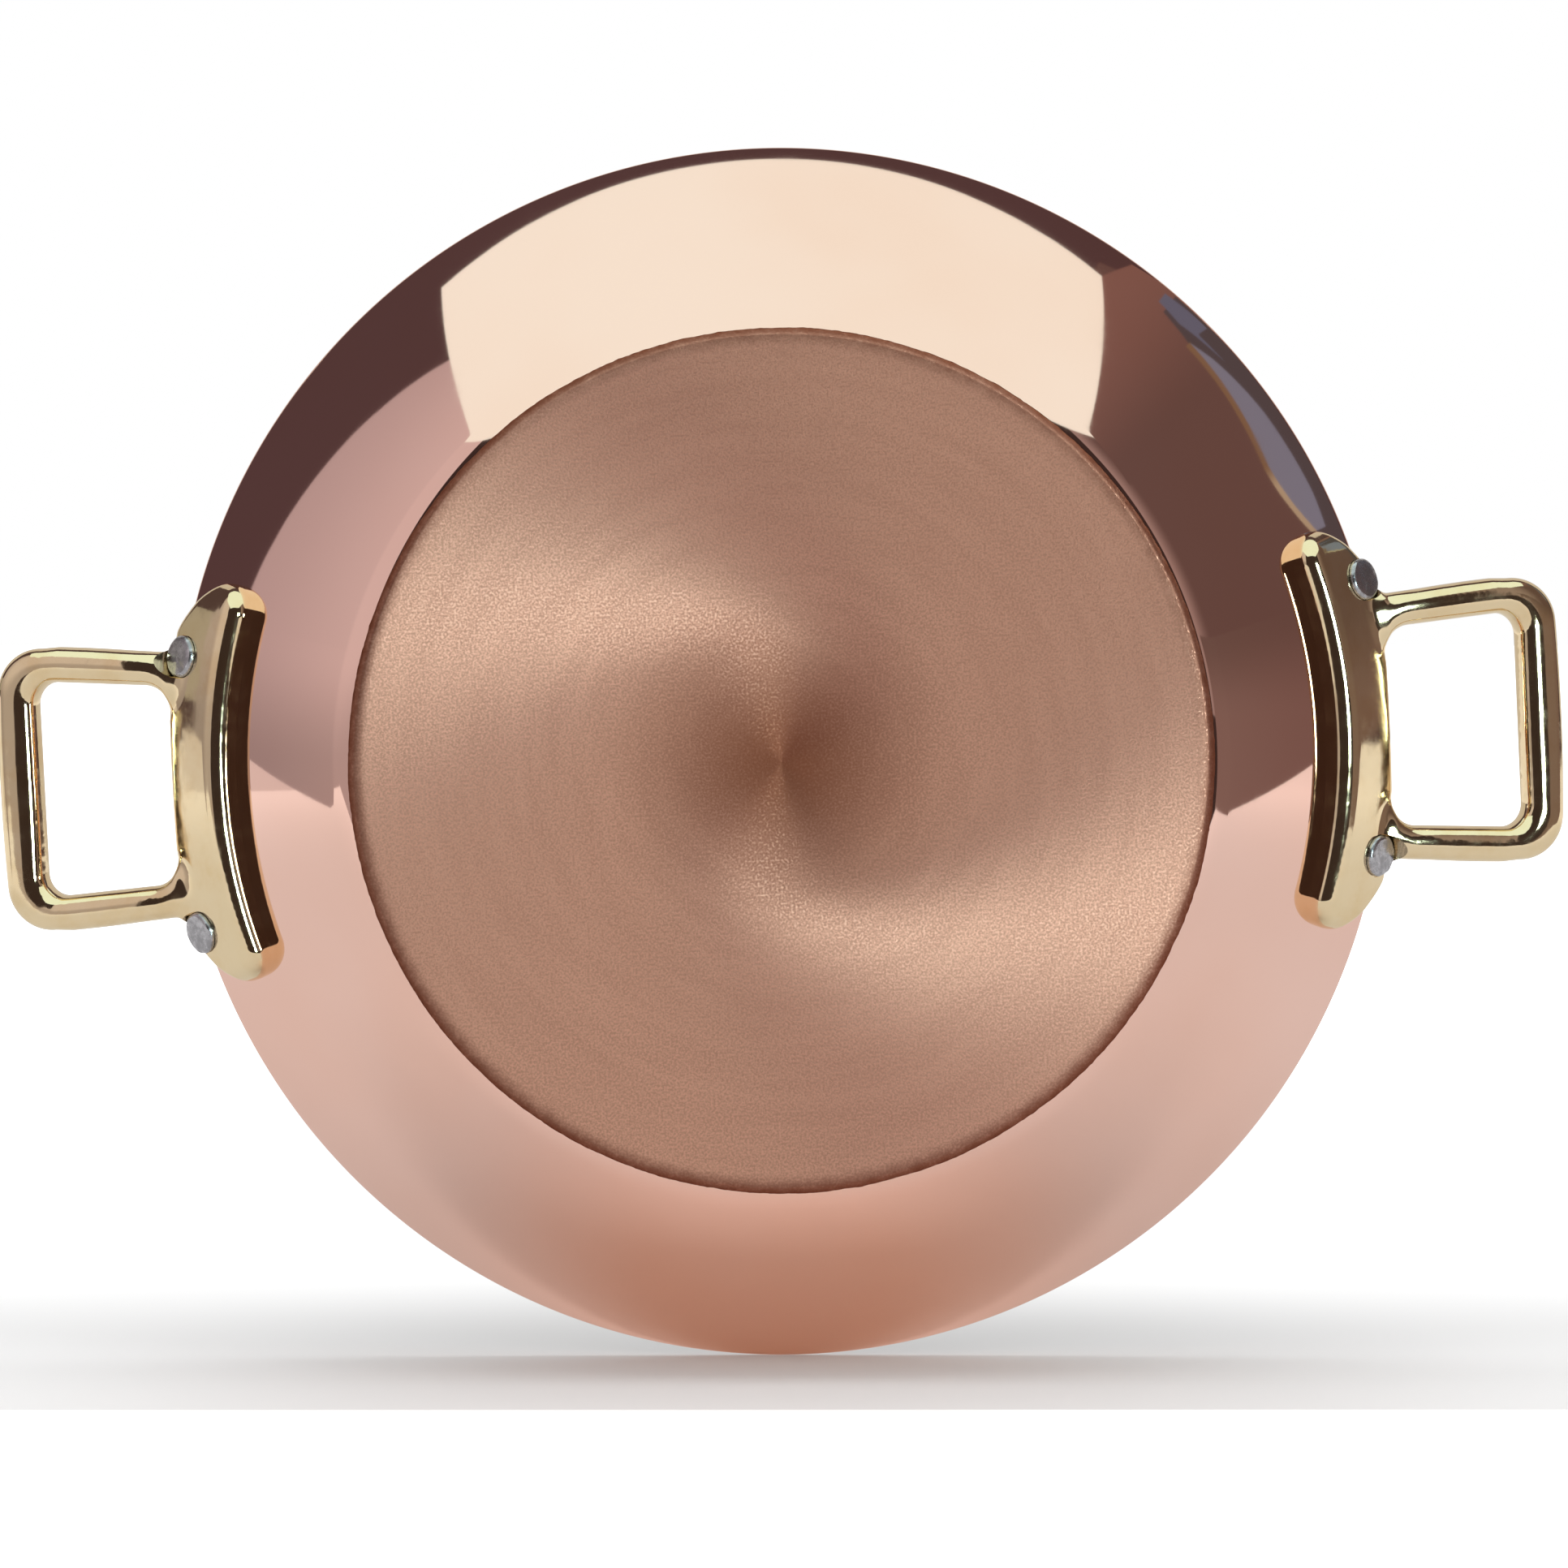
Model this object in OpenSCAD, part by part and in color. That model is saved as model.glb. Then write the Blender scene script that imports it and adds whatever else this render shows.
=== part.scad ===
// Round copper pan with a steel lining, a sprayed base for induction hobs and two riveted brass handles.
// The origin is the centre of the base on the table, +Z is up and the handles lie along X.

/* [Pan] */
// Outside diameter over the rim
rim_d = 240; // [220:2:260]
// Height of the rim above the table
pan_h = 38; // [35:1:42]
// Diameter of the flat part of the base
flat_d = 160; // [148:2:166]
// Outside radius of the bend from base to wall
bend_r = 10; // [7:1:14]
// Outside radius of the long curve of the wall
wall_curve_r = 230; // [180:10:400]
// Thickness of the copper
copper_t = 1.8; // [1.4:0.1:2.4]
// Thickness of the steel lining
lining_t = 0.2; // [0.1:0.05:0.5]

/* [Sprayed base] */
// Thickness of the sprayed layer
spray_t = 0.4; // [0.2:0.05:0.8]
// How far the sprayed layer reaches over the bend, past the flat
spray_reach = 3; // [1:0.5:4]

/* [Rivets] */
// Diameter of a rivet's shank
shank_d = 5; // [4:0.25:6]
// Diameter of the flattened head outside
outer_head_d = 8.4; // [7.4:0.2:8.6]
// Height of the flattened head outside
outer_head_h = 1.5; // [1.2:0.1:2]
// Diameter of the low head inside the pan
inner_head_d = 11; // [9:0.5:12]
// Height of the low head inside the pan
inner_head_h = 1.7; // [1.2:0.1:2.4]
// Distance between the two rivets of a handle, round the wall
rivet_pitch = 53; // [51:0.5:56]
// How far the pair of rivets is off the middle of the flange, round the wall
rivet_shift = 2; // [0:0.5:3]
// Distance from the rim down the wall to a rivet
rivet_drop = 7.25; // [7:0.25:8.5]
// Clearance between a shank and its holes, on the radius
shank_gap = 0.03; // [0.02:0.01:0.1]

/* [Handle flange] */
// Length of the flange from tip to tip, round the wall
flange_w = 80; // [76:1:88]
// Height of the flange, up the wall
flange_h = 17.5; // [16.5:0.5:19]
// Thickness of the flange
flange_t = 5.5; // [5:0.25:6.5]
// Distance from the rim down the wall to the flange's top edge
flange_drop = 2.5; // [2.25:0.25:3]
// Rounding of the flange's lower edge
lower_round = 3.6; // [2.4:0.2:4.2]
// Rounding of the flange's upper edge
upper_round = 1.8; // [1.2:0.2:2.4]
// Radius of the flange's rounded tips
tip_r = 6; // [5:0.5:8]
// Dip of the flange's top edge at the middle of the finger opening
opening_dip = 2.5; // [1.5:0.25:3.5]
// Gap between the flange and the copper
seat_gap = 0.05; // [0.03:0.01:0.1]

/* [Handle loop] */
// Mean width of the finger opening, along the pan's edge
opening_w = 41; // [39:0.5:43]
// Reach of the finger opening, away from the pan
opening_l = 27.4; // [24:0.2:34]
// How much wider the opening is at its outer end
loop_spread = 4; // [1:0.5:6]
// Width of the loop's side bars
side_bar_w = 6.6; // [6:0.2:7.6]
// Width of the loop's outer bar
grip_bar_w = 8.6; // [7.6:0.2:10]
// Thickness of the loop's bars, top to bottom
bar_t = 7.6; // [7:0.2:8.4]
// Inside radius of the opening's corners
opening_r = 4.5; // [3.5:0.25:5.5]
// Outside radius of the loop's corners
loop_outer_r = 9; // [7:0.5:11]
// Radius where a side bar runs out into the flange beside its rivet
root_outer_r = 1.8; // [1:0.2:3]
// Rise of the loop above level, in degrees
loop_rise = 15; // [10:1:20]

/* [Hidden] */
// overrun of a cut past the face that it leaves
cut_over = 1;
// facets of a full circle, where one is drawn
round_fn = 128;
// the metals' colours
copper_colour = "#c98a6b";
steel_colour = "#c9c9c6";
spray_colour = "#a8775c";
brass_colour = "#c9a85c";
rivet_colour = "#a9a9ab";

// The pan's outline: a flat, a bend and a long outward curve, all tangent, that ends in a rounded rim.
// A place on it is given by its slope from level; slope_dir is the direction that faces out there.
// The wall starts a hair thinner than the bend it grows from, and the rim's rounding a hair thinner again.
wall_t = copper_t + lining_t;
seam_ease = 0.002;
rim_ease = 0.01;
rim_r = copper_t / 2;
rim_c = [rim_d / 2 - rim_r, pan_h - rim_r];
bend_c = [flat_d / 2, spray_t + bend_r];
to_rim = rim_c - bend_c;
curve_less_bend = wall_curve_r - bend_r;
rim_mid_r = wall_curve_r - rim_r;
rim_fit = (pow(rim_mid_r, 2) - pow(curve_less_bend, 2) - to_rim * to_rim) / (2 * curve_less_bend);
foot_slope = atan2(to_rim[1], to_rim[0]) + 90 - acos(rim_fit / norm(to_rim));
curve_c = bend_c - curve_less_bend * slope_dir(foot_slope);
rim_slope = atan2(rim_c[1] - curve_c[1], rim_c[0] - curve_c[0]) + 90;
wall_sweep = rim_slope - foot_slope;
spray_slope = asin(spray_reach / bend_r);

// Places on the wall's outside face, as slopes
rivet_slope = rim_slope - arc_angle(rivet_drop, wall_curve_r);
flange_low_slope = rim_slope - arc_angle(flange_drop + flange_h, wall_curve_r);
dip_slope = rim_slope - arc_angle(flange_drop + opening_dip, wall_curve_r);
rivet_foot = surface_point(rivet_slope, 0);
rivet_turn = arc_angle(rivet_pitch / 2, rivet_foot[0]);
shift_turn = arc_angle(rivet_shift, rivet_foot[0]);
flange_mid_r = surface_point(flange_low_slope + arc_angle(flange_h / 2, wall_curve_r), 0)[0];

// Each outside head sits in a shallow round seat that is cut into the flange and the foot of the loop
seat_share = 0.94;
head_seat = flange_t * seat_share;
seat_margin = 0.15;
seat_reach = 2 * flange_t;
head_round_share = 0.6;

// The inside head is a low dome whose flat meets the lining's hollow curve at its two sides
inner_head_back = wall_t + pow(inner_head_d / 2, 2) * sin(rivet_slope) / (2 * rivet_foot[0]) + shank_gap;

// The flange: its outline falls from the rivets to the tips, and its sections follow the wall
flange_stations = 44;
round_steps = 6;
back_points = 6;
tip_height_share = 0.35;
top_flat_share = 0.66;
top_fall_share = 0.4;
tip_thin_share = 0.4;

// The loop lies in a plane that rises outwards from the flange's top edge; x runs out from that edge
root_edge = surface_point(dip_slope, flange_t);
root_lift_share = 0.2;
loop_root = root_edge + bar_t * root_lift_share * [-sin(loop_rise), cos(loop_rise)];
root_half_w = opening_w / 2 - loop_spread / 4;
end_half_w = opening_w / 2 + loop_spread / 4;
spread_angle = atan2(end_half_w - root_half_w, opening_l);
bar_points = 22;
bar_power = 2.6;
corner_steps = 8;
grip_steps = 6;
side_steps = 12;

// The side bars' ends lie inside the flange, parallel to the wall and a little off it
end_cover_share = 0.2;
fade_share = 0.5;
root_thin_share = 0.3;
root_lean = 1 / tan(dip_slope - loop_rise);
root_cover = flange_t * end_cover_share;
root_lift = norm(loop_root - curve_c) - wall_curve_r;
root_x = (root_cover - root_lift) / sin(dip_slope - loop_rise);

function arc_angle(length, radius) = length / radius * 180 / PI;
function slope_dir(slope) = [sin(slope), -cos(slope)];
function surface_point(slope, lift) = curve_c + (wall_curve_r + lift) * slope_dir(slope);
function smooth_step(x) = let (t = min(max(x, 0), 1)) t * t * (3 - 2 * t);

// A sector of a ring round the origin, from straight down to a sweep towards +X
module ring_sector(outer_r, inner_r, sweep) {
    reach = 2 * outer_r;
    intersection() {
        difference() {
            circle(r = outer_r, $fn = round_fn);
            circle(r = inner_r, $fn = round_fn);
        }
        translate([0, -reach]) square(reach);
        rotate(sweep) translate([-reach, -reach]) square(reach);
    }
}

// The centre of the wall's long curve, turned so that straight down points at the foot of the wall
module at_curve() {
    translate(bend_c) rotate(foot_slope) translate([0, curve_less_bend]) children();
}

// One even layer of the pan, between two depths inside the copper's outside face
module pan_layer_outline(outer_inset, inner_inset) {
    translate([0, spray_t + outer_inset]) square([flat_d / 2, inner_inset - outer_inset]);
    translate(bend_c) ring_sector(bend_r - outer_inset, bend_r - inner_inset, foot_slope);
    at_curve() ring_sector(
        wall_curve_r - outer_inset - seam_ease,
        wall_curve_r - inner_inset + seam_ease,
        wall_sweep
    );
}

// Puts its children at a rivet: the origin on the wall's outside face, +Z outwards along the rivet
module at_rivet(turn) {
    rotate([0, 0, turn])
        translate([rivet_foot[0], 0, rivet_foot[1]])
            rotate([0, 180 - rivet_slope, 0])
                children();
}

module shank_holes(turns) {
    for (turn = turns) at_rivet(turn)
        translate([0, 0, -wall_t - cut_over])
            cylinder(d = shank_d + 2 * shank_gap, h = wall_t + flange_t + 2 * cut_over, $fn = round_fn);
}

function handle_turns(side) = [side - shift_turn - rivet_turn, side - shift_turn + rivet_turn];
all_turns = concat(handle_turns(0), handle_turns(180));

module copper_shell() {
    color(copper_colour) difference() {
        rotate_extrude($fn = round_fn) {
            pan_layer_outline(0, copper_t);
            at_curve() rotate(wall_sweep) translate([0, -rim_mid_r])
                circle(r = rim_r - rim_ease, $fn = round_fn);
        }
        shank_holes(all_turns);
    }
}

module steel_lining() {
    color(steel_colour) difference() {
        rotate_extrude($fn = round_fn) pan_layer_outline(copper_t, wall_t);
        shank_holes(all_turns);
    }
}

module sprayed_base() {
    color(spray_colour) rotate_extrude($fn = round_fn) {
        square([flat_d / 2, spray_t]);
        translate(bend_c) ring_sector(bend_r + spray_t, bend_r, spray_slope);
    }
}

// A skin over a row of closed sections, with flat ends
module skin(sections) {
    count = len(sections);
    size = len(sections[0]);
    sides = [for (j = [0:count - 2], i = [0:size - 1]) let (
        a = j * size + i,
        b = j * size + (i + 1) % size
    ) each [[a, b, a + size], [b, b + size, a + size]]];
    ends = [[for (i = [0:size - 1]) size - 1 - i], [for (i = [0:size - 1]) (count - 1) * size + i]];
    polyhedron(points = [for (s = sections, p = s) p], faces = concat(sides, ends), convexity = 6);
}

// A point of the flange: so far round the wall, up from its lower edge, and out from the wall
function flange_point(round_wall, up, out) = let (
    p = surface_point(flange_low_slope + arc_angle(up, wall_curve_r), out),
    turn = arc_angle(round_wall, flange_mid_r)
) [p[0] * cos(turn), p[0] * sin(turn), p[1]];

// How full the flange is at a place along it: 1 on its body, falling to 0 at its tips as a circle does
function tip_fullness(along) = let (into = max(abs(along) - (flange_w / 2 - tip_r), 0) / tip_r)
    sqrt(max(1 - into * into, 0));

// The flange's top edge: it falls towards the tips, and dips so that the finger opening has a straight side
function flange_top(along) = let (
    fall = smooth_step((2 * abs(along) / flange_w - top_flat_share) / (1 - top_flat_share)),
    dip = opening_dip - along * along / (2 * root_edge[0] * cos(dip_slope))
) flange_h * (1 - top_fall_share * fall) - max(dip, 0);

// One closed section of the flange, flat to the wall with rounded edges outside
function flange_section(along) = let (
    full = tip_fullness(along),
    tip = flange_h * tip_height_share,
    low = tip * (1 - full),
    high = tip + (flange_top(along) - tip) * full,
    thick = (flange_t - seat_gap) * (tip_thin_share * sqrt(full) + (1 - tip_thin_share) * full),
    low_r = min(lower_round * full, (high - low) / 2),
    high_r = min(upper_round * full, (high - low) / 2),
    out = seat_gap + thick
) concat(
    [for (i = [0:back_points - 1])
        flange_point(along, high + (low - high) * i / (back_points - 1), seat_gap)],
    [for (i = [0:round_steps]) let (a = 90 * i / round_steps)
        flange_point(along, low + low_r * (1 - cos(a)), out - low_r * (1 - sin(a)))],
    [for (i = [0:round_steps]) let (a = 90 * i / round_steps)
        flange_point(along, high - high_r * (1 - sin(a)), out - high_r * (1 - cos(a)))]
);

// Stations along the flange, closer together towards its tips
function flange_along(i) = let (span = flange_w / 2 * (1 - 1 / pow(flange_stations, 2)))
    span * sin(90 * (2 * i / flange_stations - 1));

module flange() {
    skin([for (i = [0:flange_stations]) flange_section(flange_along(i))]);
}

// A point of the loop: in its plane, lifted square to it
function loop_point(x, y, lift) = [
    loop_root[0] + x * cos(loop_rise) - lift * sin(loop_rise),
    y,
    loop_root[1] + x * sin(loop_rise) + lift * cos(loop_rise)
];

// The bars' round-cornered section: across and up, each from -1 to 1
function bar_across(i) = let (c = cos(360 * i / bar_points)) sign(c) * pow(abs(c), 2 / bar_power);
function bar_up(i) = let (s = sin(360 * i / bar_points)) sign(s) * pow(abs(s), 2 / bar_power);

// A quarter round that runs out where x reaches the radius
function run_out(x, radius) = let (d = min(max(radius - x, 0), radius))
    radius - sqrt(radius * radius - d * d);

// The side bars' edges, widening into the flange
function bar_inner_y(x) = root_half_w + x * tan(spread_angle) - run_out(x, opening_r);
function bar_outer_y(x) = root_half_w + x * tan(spread_angle) + side_bar_w + run_out(x, root_outer_r);

// A section of a side bar. Near its root it leans with the wall, draws back as the wall curves away
// and thins underneath, so that its underside runs into the flange's face
function side_section(x, side) = let (rooted = 1 - smooth_step((x - root_x) / (opening_l * fade_share)))
    [for (i = [0:bar_points - 1]) let (
        thin = bar_up(i) < 0 ? 1 - root_thin_share * rooted : 1,
        lift = bar_t / 2 * bar_up(i) * thin,
        at_x = x + lift * root_lean * rooted,
        inner = bar_inner_y(at_x),
        outer = bar_outer_y(at_x),
        y = (outer + inner) / 2 + (outer - inner) / 2 * bar_across(i),
        back = rivet_foot[0] - sqrt(pow(rivet_foot[0], 2) - y * y)
    ) loop_point(at_x - back * rooted, side * y, lift)];

// A section that turns the corner or crosses the grip, between an inner and an outer point
function turn_section(inner, outer) = [for (i = [0:bar_points - 1]) let (
    p = (outer + inner) / 2 + (outer - inner) / 2 * bar_across(i)
) loop_point(p[0], p[1], bar_t / 2 * bar_up(i))];

// A point on a rounded corner of the opening or of the loop's outside, from its side to its outer end
function corner_point(corner, radius, i, side) = let (
    start = 90 + spread_angle,
    both = [cos(start) + 1, sin(start)],
    a = start * (1 - i / corner_steps),
    p = corner - radius * both / (1 + cos(start)) + radius * [cos(a), sin(a)]
) [p[0], side * p[1]];

loop_end = opening_l + grip_bar_w;
inner_corner = [opening_l, end_half_w];
outer_corner = [loop_end, root_half_w + loop_end * tan(spread_angle) + side_bar_w];

function corner_section(i, side) = turn_section(
    corner_point(inner_corner, opening_r, i, side),
    corner_point(outer_corner, loop_outer_r, i, side)
);

function grip_section(i) = let (
    inner = inner_corner[1] - opening_r,
    outer = outer_corner[1] - loop_outer_r,
    t = 2 * i / grip_steps - 1
) turn_section([opening_l, inner * t], [loop_end, outer * t]);

// Stations along a side bar, closer together at its root
side_end = opening_l - opening_r;
function side_x(i) = root_x + (side_end - root_x) * (1 - cos(90 * i / side_steps));

module loop() {
    skin([
        for (i = [0:side_steps - 1]) side_section(side_x(i), -1),
        for (i = [0:corner_steps - 1]) corner_section(i, -1),
        for (i = [0:grip_steps]) grip_section(i),
        for (i = [1:corner_steps]) corner_section(corner_steps - i, 1),
        for (i = [1:side_steps]) side_section(side_x(side_steps - i), 1)
    ]);
}

module head_seats(turns) {
    for (turn = turns) at_rivet(turn) translate([0, 0, head_seat])
        cylinder(d = outer_head_d + 2 * seat_margin, h = seat_reach, $fn = round_fn);
}

module handle(side) {
    color(brass_colour) difference() {
        rotate([0, 0, side]) {
            flange();
            loop();
        }
        shank_holes(handle_turns(side));
        head_seats(handle_turns(side));
    }
}

module left_handle() { handle(180); }
module right_handle() { handle(0); }

// The head that is formed outside: a low disc with a rounded edge
module outer_head_outline() {
    edge_r = outer_head_h * head_round_share;
    square([outer_head_d / 2, outer_head_h - edge_r]);
    square([outer_head_d / 2 - edge_r, outer_head_h]);
    translate([outer_head_d / 2 - edge_r, outer_head_h - edge_r]) circle(r = edge_r, $fn = round_fn);
}

// The head that the rivet comes with: a slice of a sphere
module inner_head_outline() {
    dome_r = (pow(inner_head_d / 2, 2) + pow(inner_head_h, 2)) / (2 * inner_head_h);
    intersection() {
        translate([0, dome_r - inner_head_h]) circle(r = dome_r, $fn = round_fn);
        translate([0, -inner_head_h - cut_over]) square([inner_head_d, inner_head_h + cut_over]);
    }
}

module rivet(side, end) {
    color(rivet_colour) at_rivet(handle_turns(side)[end]) {
        translate([0, 0, -inner_head_back])
            cylinder(d = shank_d, h = inner_head_back + head_seat, $fn = round_fn);
        translate([0, 0, head_seat]) rotate_extrude($fn = round_fn) outer_head_outline();
        translate([0, 0, -inner_head_back]) rotate_extrude($fn = round_fn) inner_head_outline();
    }
}

module left_front_rivet() { rivet(180, 1); }
module left_rear_rivet() { rivet(180, 0); }
module right_front_rivet() { rivet(0, 0); }
module right_rear_rivet() { rivet(0, 1); }

copper_shell();
steel_lining();
sprayed_base();
left_handle();
right_handle();
left_front_rivet();
left_rear_rivet();
right_front_rivet();
right_rear_rivet();
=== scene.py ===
"""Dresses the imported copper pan: polished copper, a sprayed base, cast brass handles and steel rivets.

The frame is the pan's own, in metres: +Z up, the base on z = 0 and the handles along X. The photograph
shows the pan stood on its rim with its base to the camera, so the studio's floor is a plane across Y.
"""

import logging
import math
from dataclasses import dataclass
from enum import Enum
from functools import cached_property

import bmesh
import bpy
import numpy as np
from bpy.types import Material, Node, NodeSocket, NodeTree, Object
from mathutils import Matrix, Vector
from mathutils.bvhtree import BVHTree


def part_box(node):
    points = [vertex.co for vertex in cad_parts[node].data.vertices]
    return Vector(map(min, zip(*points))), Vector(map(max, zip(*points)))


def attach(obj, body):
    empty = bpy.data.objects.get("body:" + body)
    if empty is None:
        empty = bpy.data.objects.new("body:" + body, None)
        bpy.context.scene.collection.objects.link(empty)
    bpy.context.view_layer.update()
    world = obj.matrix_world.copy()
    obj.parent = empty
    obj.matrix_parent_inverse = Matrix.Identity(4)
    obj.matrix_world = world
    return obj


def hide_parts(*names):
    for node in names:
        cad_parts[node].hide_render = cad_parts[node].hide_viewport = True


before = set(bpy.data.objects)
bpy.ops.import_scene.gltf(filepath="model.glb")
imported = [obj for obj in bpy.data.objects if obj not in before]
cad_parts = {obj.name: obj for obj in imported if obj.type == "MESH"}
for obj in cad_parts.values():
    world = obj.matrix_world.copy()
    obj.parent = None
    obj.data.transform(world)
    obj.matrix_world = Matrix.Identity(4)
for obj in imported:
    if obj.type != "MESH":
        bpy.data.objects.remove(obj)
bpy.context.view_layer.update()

LOG = logging.getLogger("pan")
MM = 0.001
JOIN_GAP = 0.0001 * MM
MERGE_GAP = 0.001 * MM
IMAGE_SIDE = 1932
SENSOR_WIDTH = 36


class Side(Enum):
    """The two handles, by the turn about Z that puts a handle made on +X in its place."""

    RIGHT = 0.0
    LEFT = math.pi


class Nodes:
    """Adds nodes to a tree, with each input given as a value or as another node's output."""

    def __init__(self, tree: NodeTree) -> None:
        """Starts on a shader, world or geometry tree, which is emptied."""
        self.tree = tree
        tree.nodes.clear()

    def add(self, kind: str, inputs: dict | None = None, **settings: object) -> Node:
        """Adds one node.

        Args:
            kind: The node's type name.
            inputs: Values or outputs, by the name or the number of the input that takes them.
            **settings: Properties of the node.

        Returns:
            The new node.
        """
        made = self.tree.nodes.new(kind)
        for name, value in settings.items():
            setattr(made, name, value)
        self.feed(made, inputs or {})
        return made

    def feed(self, node: Node, inputs: dict) -> None:
        """Fills a node's inputs.

        Args:
            node: The node.
            inputs: Values or outputs, by the name or the number of the input that takes them.
        """
        for key, value in inputs.items():
            if isinstance(value, NodeSocket):
                self.tree.links.new(value, node.inputs[key])
            else:
                node.inputs[key].default_value = value

    def maths(self, operation: str, *values: object) -> NodeSocket:
        """One step of arithmetic on numbers."""
        return self.add("ShaderNodeMath", dict(enumerate(values)), operation=operation).outputs[0]

    def vector(self, operation: str, *values: object) -> NodeSocket:
        """One step of vector arithmetic, which gives a number for a length or a distance."""
        made = self.add("ShaderNodeVectorMath", dict(enumerate(values)), operation=operation)
        return made.outputs["Value" if operation in ("LENGTH", "DISTANCE") else "Vector"]

    def scaled(self, way: object, factor: object) -> NodeSocket:
        """A vector times a number."""
        return self.add("ShaderNodeVectorMath", {0: way, "Scale": factor}, operation="SCALE").outputs[0]

    def turned(self, way: object, angle: object) -> NodeSocket:
        """A vector turned about Z."""
        inputs = {"Vector": way, "Angle": angle}
        return self.add("ShaderNodeVectorRotate", inputs, rotation_type="Z_AXIS").outputs[0]

    def part(self, place: object, axis: int) -> NodeSocket:
        """The x, y or z of a place, for the axis 0, 1 or 2."""
        return self.add("ShaderNodeSeparateXYZ", {0: place}).outputs[axis]

    def ease(
        self, value: object, low: object, high: object, to_low: float = 0, to_high: float = 1
    ) -> NodeSocket:
        """A smooth change, from to_low where the value is low to to_high where it is high."""
        ends = {0: value, 1: low, 2: high, 3: to_low, 4: to_high}
        return self.add("ShaderNodeMapRange", ends, interpolation_type="SMOOTHSTEP").outputs[0]

    def noise(self, place: object, scale: object, detail: float = 2, rough: float = 0.5) -> NodeSocket:
        """Noise from 0 to 1, by its features to a metre, its octaves and how strong the fine ones are."""
        inputs = {"Vector": place, "Scale": scale, "Detail": detail, "Roughness": rough}
        return self.add("ShaderNodeTexNoise", inputs).outputs[0]

    def mix(self, factor: object, first: object, second: object) -> NodeSocket:
        """Mixes two colours, by a factor of 0 for the first and 1 for the second."""
        inputs = {0: factor, 6: first, 7: second}
        return self.add("ShaderNodeMix", inputs, data_type="RGBA").outputs[2]

    def glow(self, tone: object, strength: object = 1.0) -> NodeSocket:
        """A plain glow."""
        return self.add("ShaderNodeEmission", {"Color": tone, "Strength": strength}).outputs[0]

    def surface(self, shader: NodeSocket) -> None:
        """Ends a material on its shader."""
        self.add("ShaderNodeOutputMaterial", {"Surface": shader})


def new_look(name: str) -> tuple[Material, Nodes, NodeSocket]:
    """Starts a material.

    Args:
        name: The material's name.

    Returns:
        The material, its nodes and the Object coordinates.
    """
    look = bpy.data.materials.new(name)
    look.use_nodes = True
    s = Nodes(look.node_tree)
    return look, s, s.add("ShaderNodeTexCoord").outputs["Object"]


def colour(red: float, green: float, blue: float) -> tuple[float, float, float, float]:
    """A solid colour from its linear red, green and blue."""
    return red, green, blue, 1.0


def smooth_step(x: np.ndarray) -> np.ndarray:
    """0 up to x = 0, 1 from x = 1 on, and an easy curve between."""
    t = np.clip(x, 0, 1)
    return t * t * (3 - 2 * t)


def add_object(name: str, data: object) -> Object:
    """Puts an object that holds some new data in the scene, at the origin.

    Args:
        name: The object's name.
        data: Its mesh, light or camera.

    Returns:
        The object.
    """
    made = bpy.data.objects.new(name, data)
    bpy.context.scene.collection.objects.link(made)
    return made


def worked_object(name: str, work: bmesh.types.BMesh) -> Object:
    """Makes an object of a finished bmesh, which is freed.

    Args:
        name: The object's name.
        work: The bmesh.

    Returns:
        The object.
    """
    mesh = bpy.data.meshes.new(name)
    work.to_mesh(mesh)
    work.free()
    return add_object(name, mesh)


def new_object(name: str, points: np.ndarray, faces: list, edges: list = ()) -> Object:
    """Makes a mesh object at the origin.

    Args:
        name: The object's name.
        points: Its vertices.
        faces: Its faces, as rows of vertex numbers.
        edges: Its loose edges, if it has no faces.

    Returns:
        The object, in the scene.
    """
    mesh = bpy.data.meshes.new(name)
    mesh.from_pydata([tuple(map(float, p)) for p in points], list(edges), faces)
    return add_object(name, mesh)


def settle(obj: Object) -> None:
    """Turns an object with its modifiers into a plain mesh.

    Args:
        obj: The object to settle.
    """
    graph = bpy.context.evaluated_depsgraph_get()
    mesh = bpy.data.meshes.new_from_object(obj.evaluated_get(graph))
    obj.modifiers.clear()
    obj.data = mesh
    mesh.name = obj.name


def face_out(obj: Object) -> None:
    """Points a closed mesh's faces outwards.

    Args:
        obj: The mesh's object.
    """
    work = bmesh.new()
    work.from_mesh(obj.data)
    bmesh.ops.remove_doubles(work, verts=work.verts, dist=JOIN_GAP)
    bmesh.ops.recalc_face_normals(work, faces=work.faces)
    work.to_mesh(obj.data)
    work.free()


def run_tree(obj: Object, tree: NodeTree, **inputs: object) -> None:
    """Runs a geometry tree on an object and keeps the result as its plain mesh.

    Args:
        obj: The object that the tree works on.
        tree: The geometry tree.
        **inputs: The tree's named inputs, with _ for a space.
    """
    modifier = obj.modifiers.new(tree.name, "NODES")
    modifier.node_group = tree
    for item in tree.interface.items_tree:
        key = item.name.replace(" ", "_")
        if item.in_out == "INPUT" and key in inputs:
            modifier[item.identifier] = inputs[key]
    settle(obj)


def start_tree(name: str, **inputs: str) -> tuple[NodeTree, Nodes, object]:
    """Starts a geometry tree that takes some inputs and a finish, and gives a solid.

    Args:
        name: The tree's name.
        **inputs: The type of each input, by its name with _ for a space. The first is a Geometry.

    Returns:
        The tree, its nodes and the sockets of its inputs.
    """
    tree = bpy.data.node_groups.new(name, "GeometryNodeTree")
    for title, kind in {**inputs, "Finish": "Material"}.items():
        tree.interface.new_socket(title.replace("_", " "), in_out="INPUT", socket_type="NodeSocket" + kind)
    tree.interface.new_socket("Solid", in_out="OUTPUT", socket_type="NodeSocketGeometry")
    g = Nodes(tree)
    return tree, g, g.add("NodeGroupInput").outputs


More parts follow.
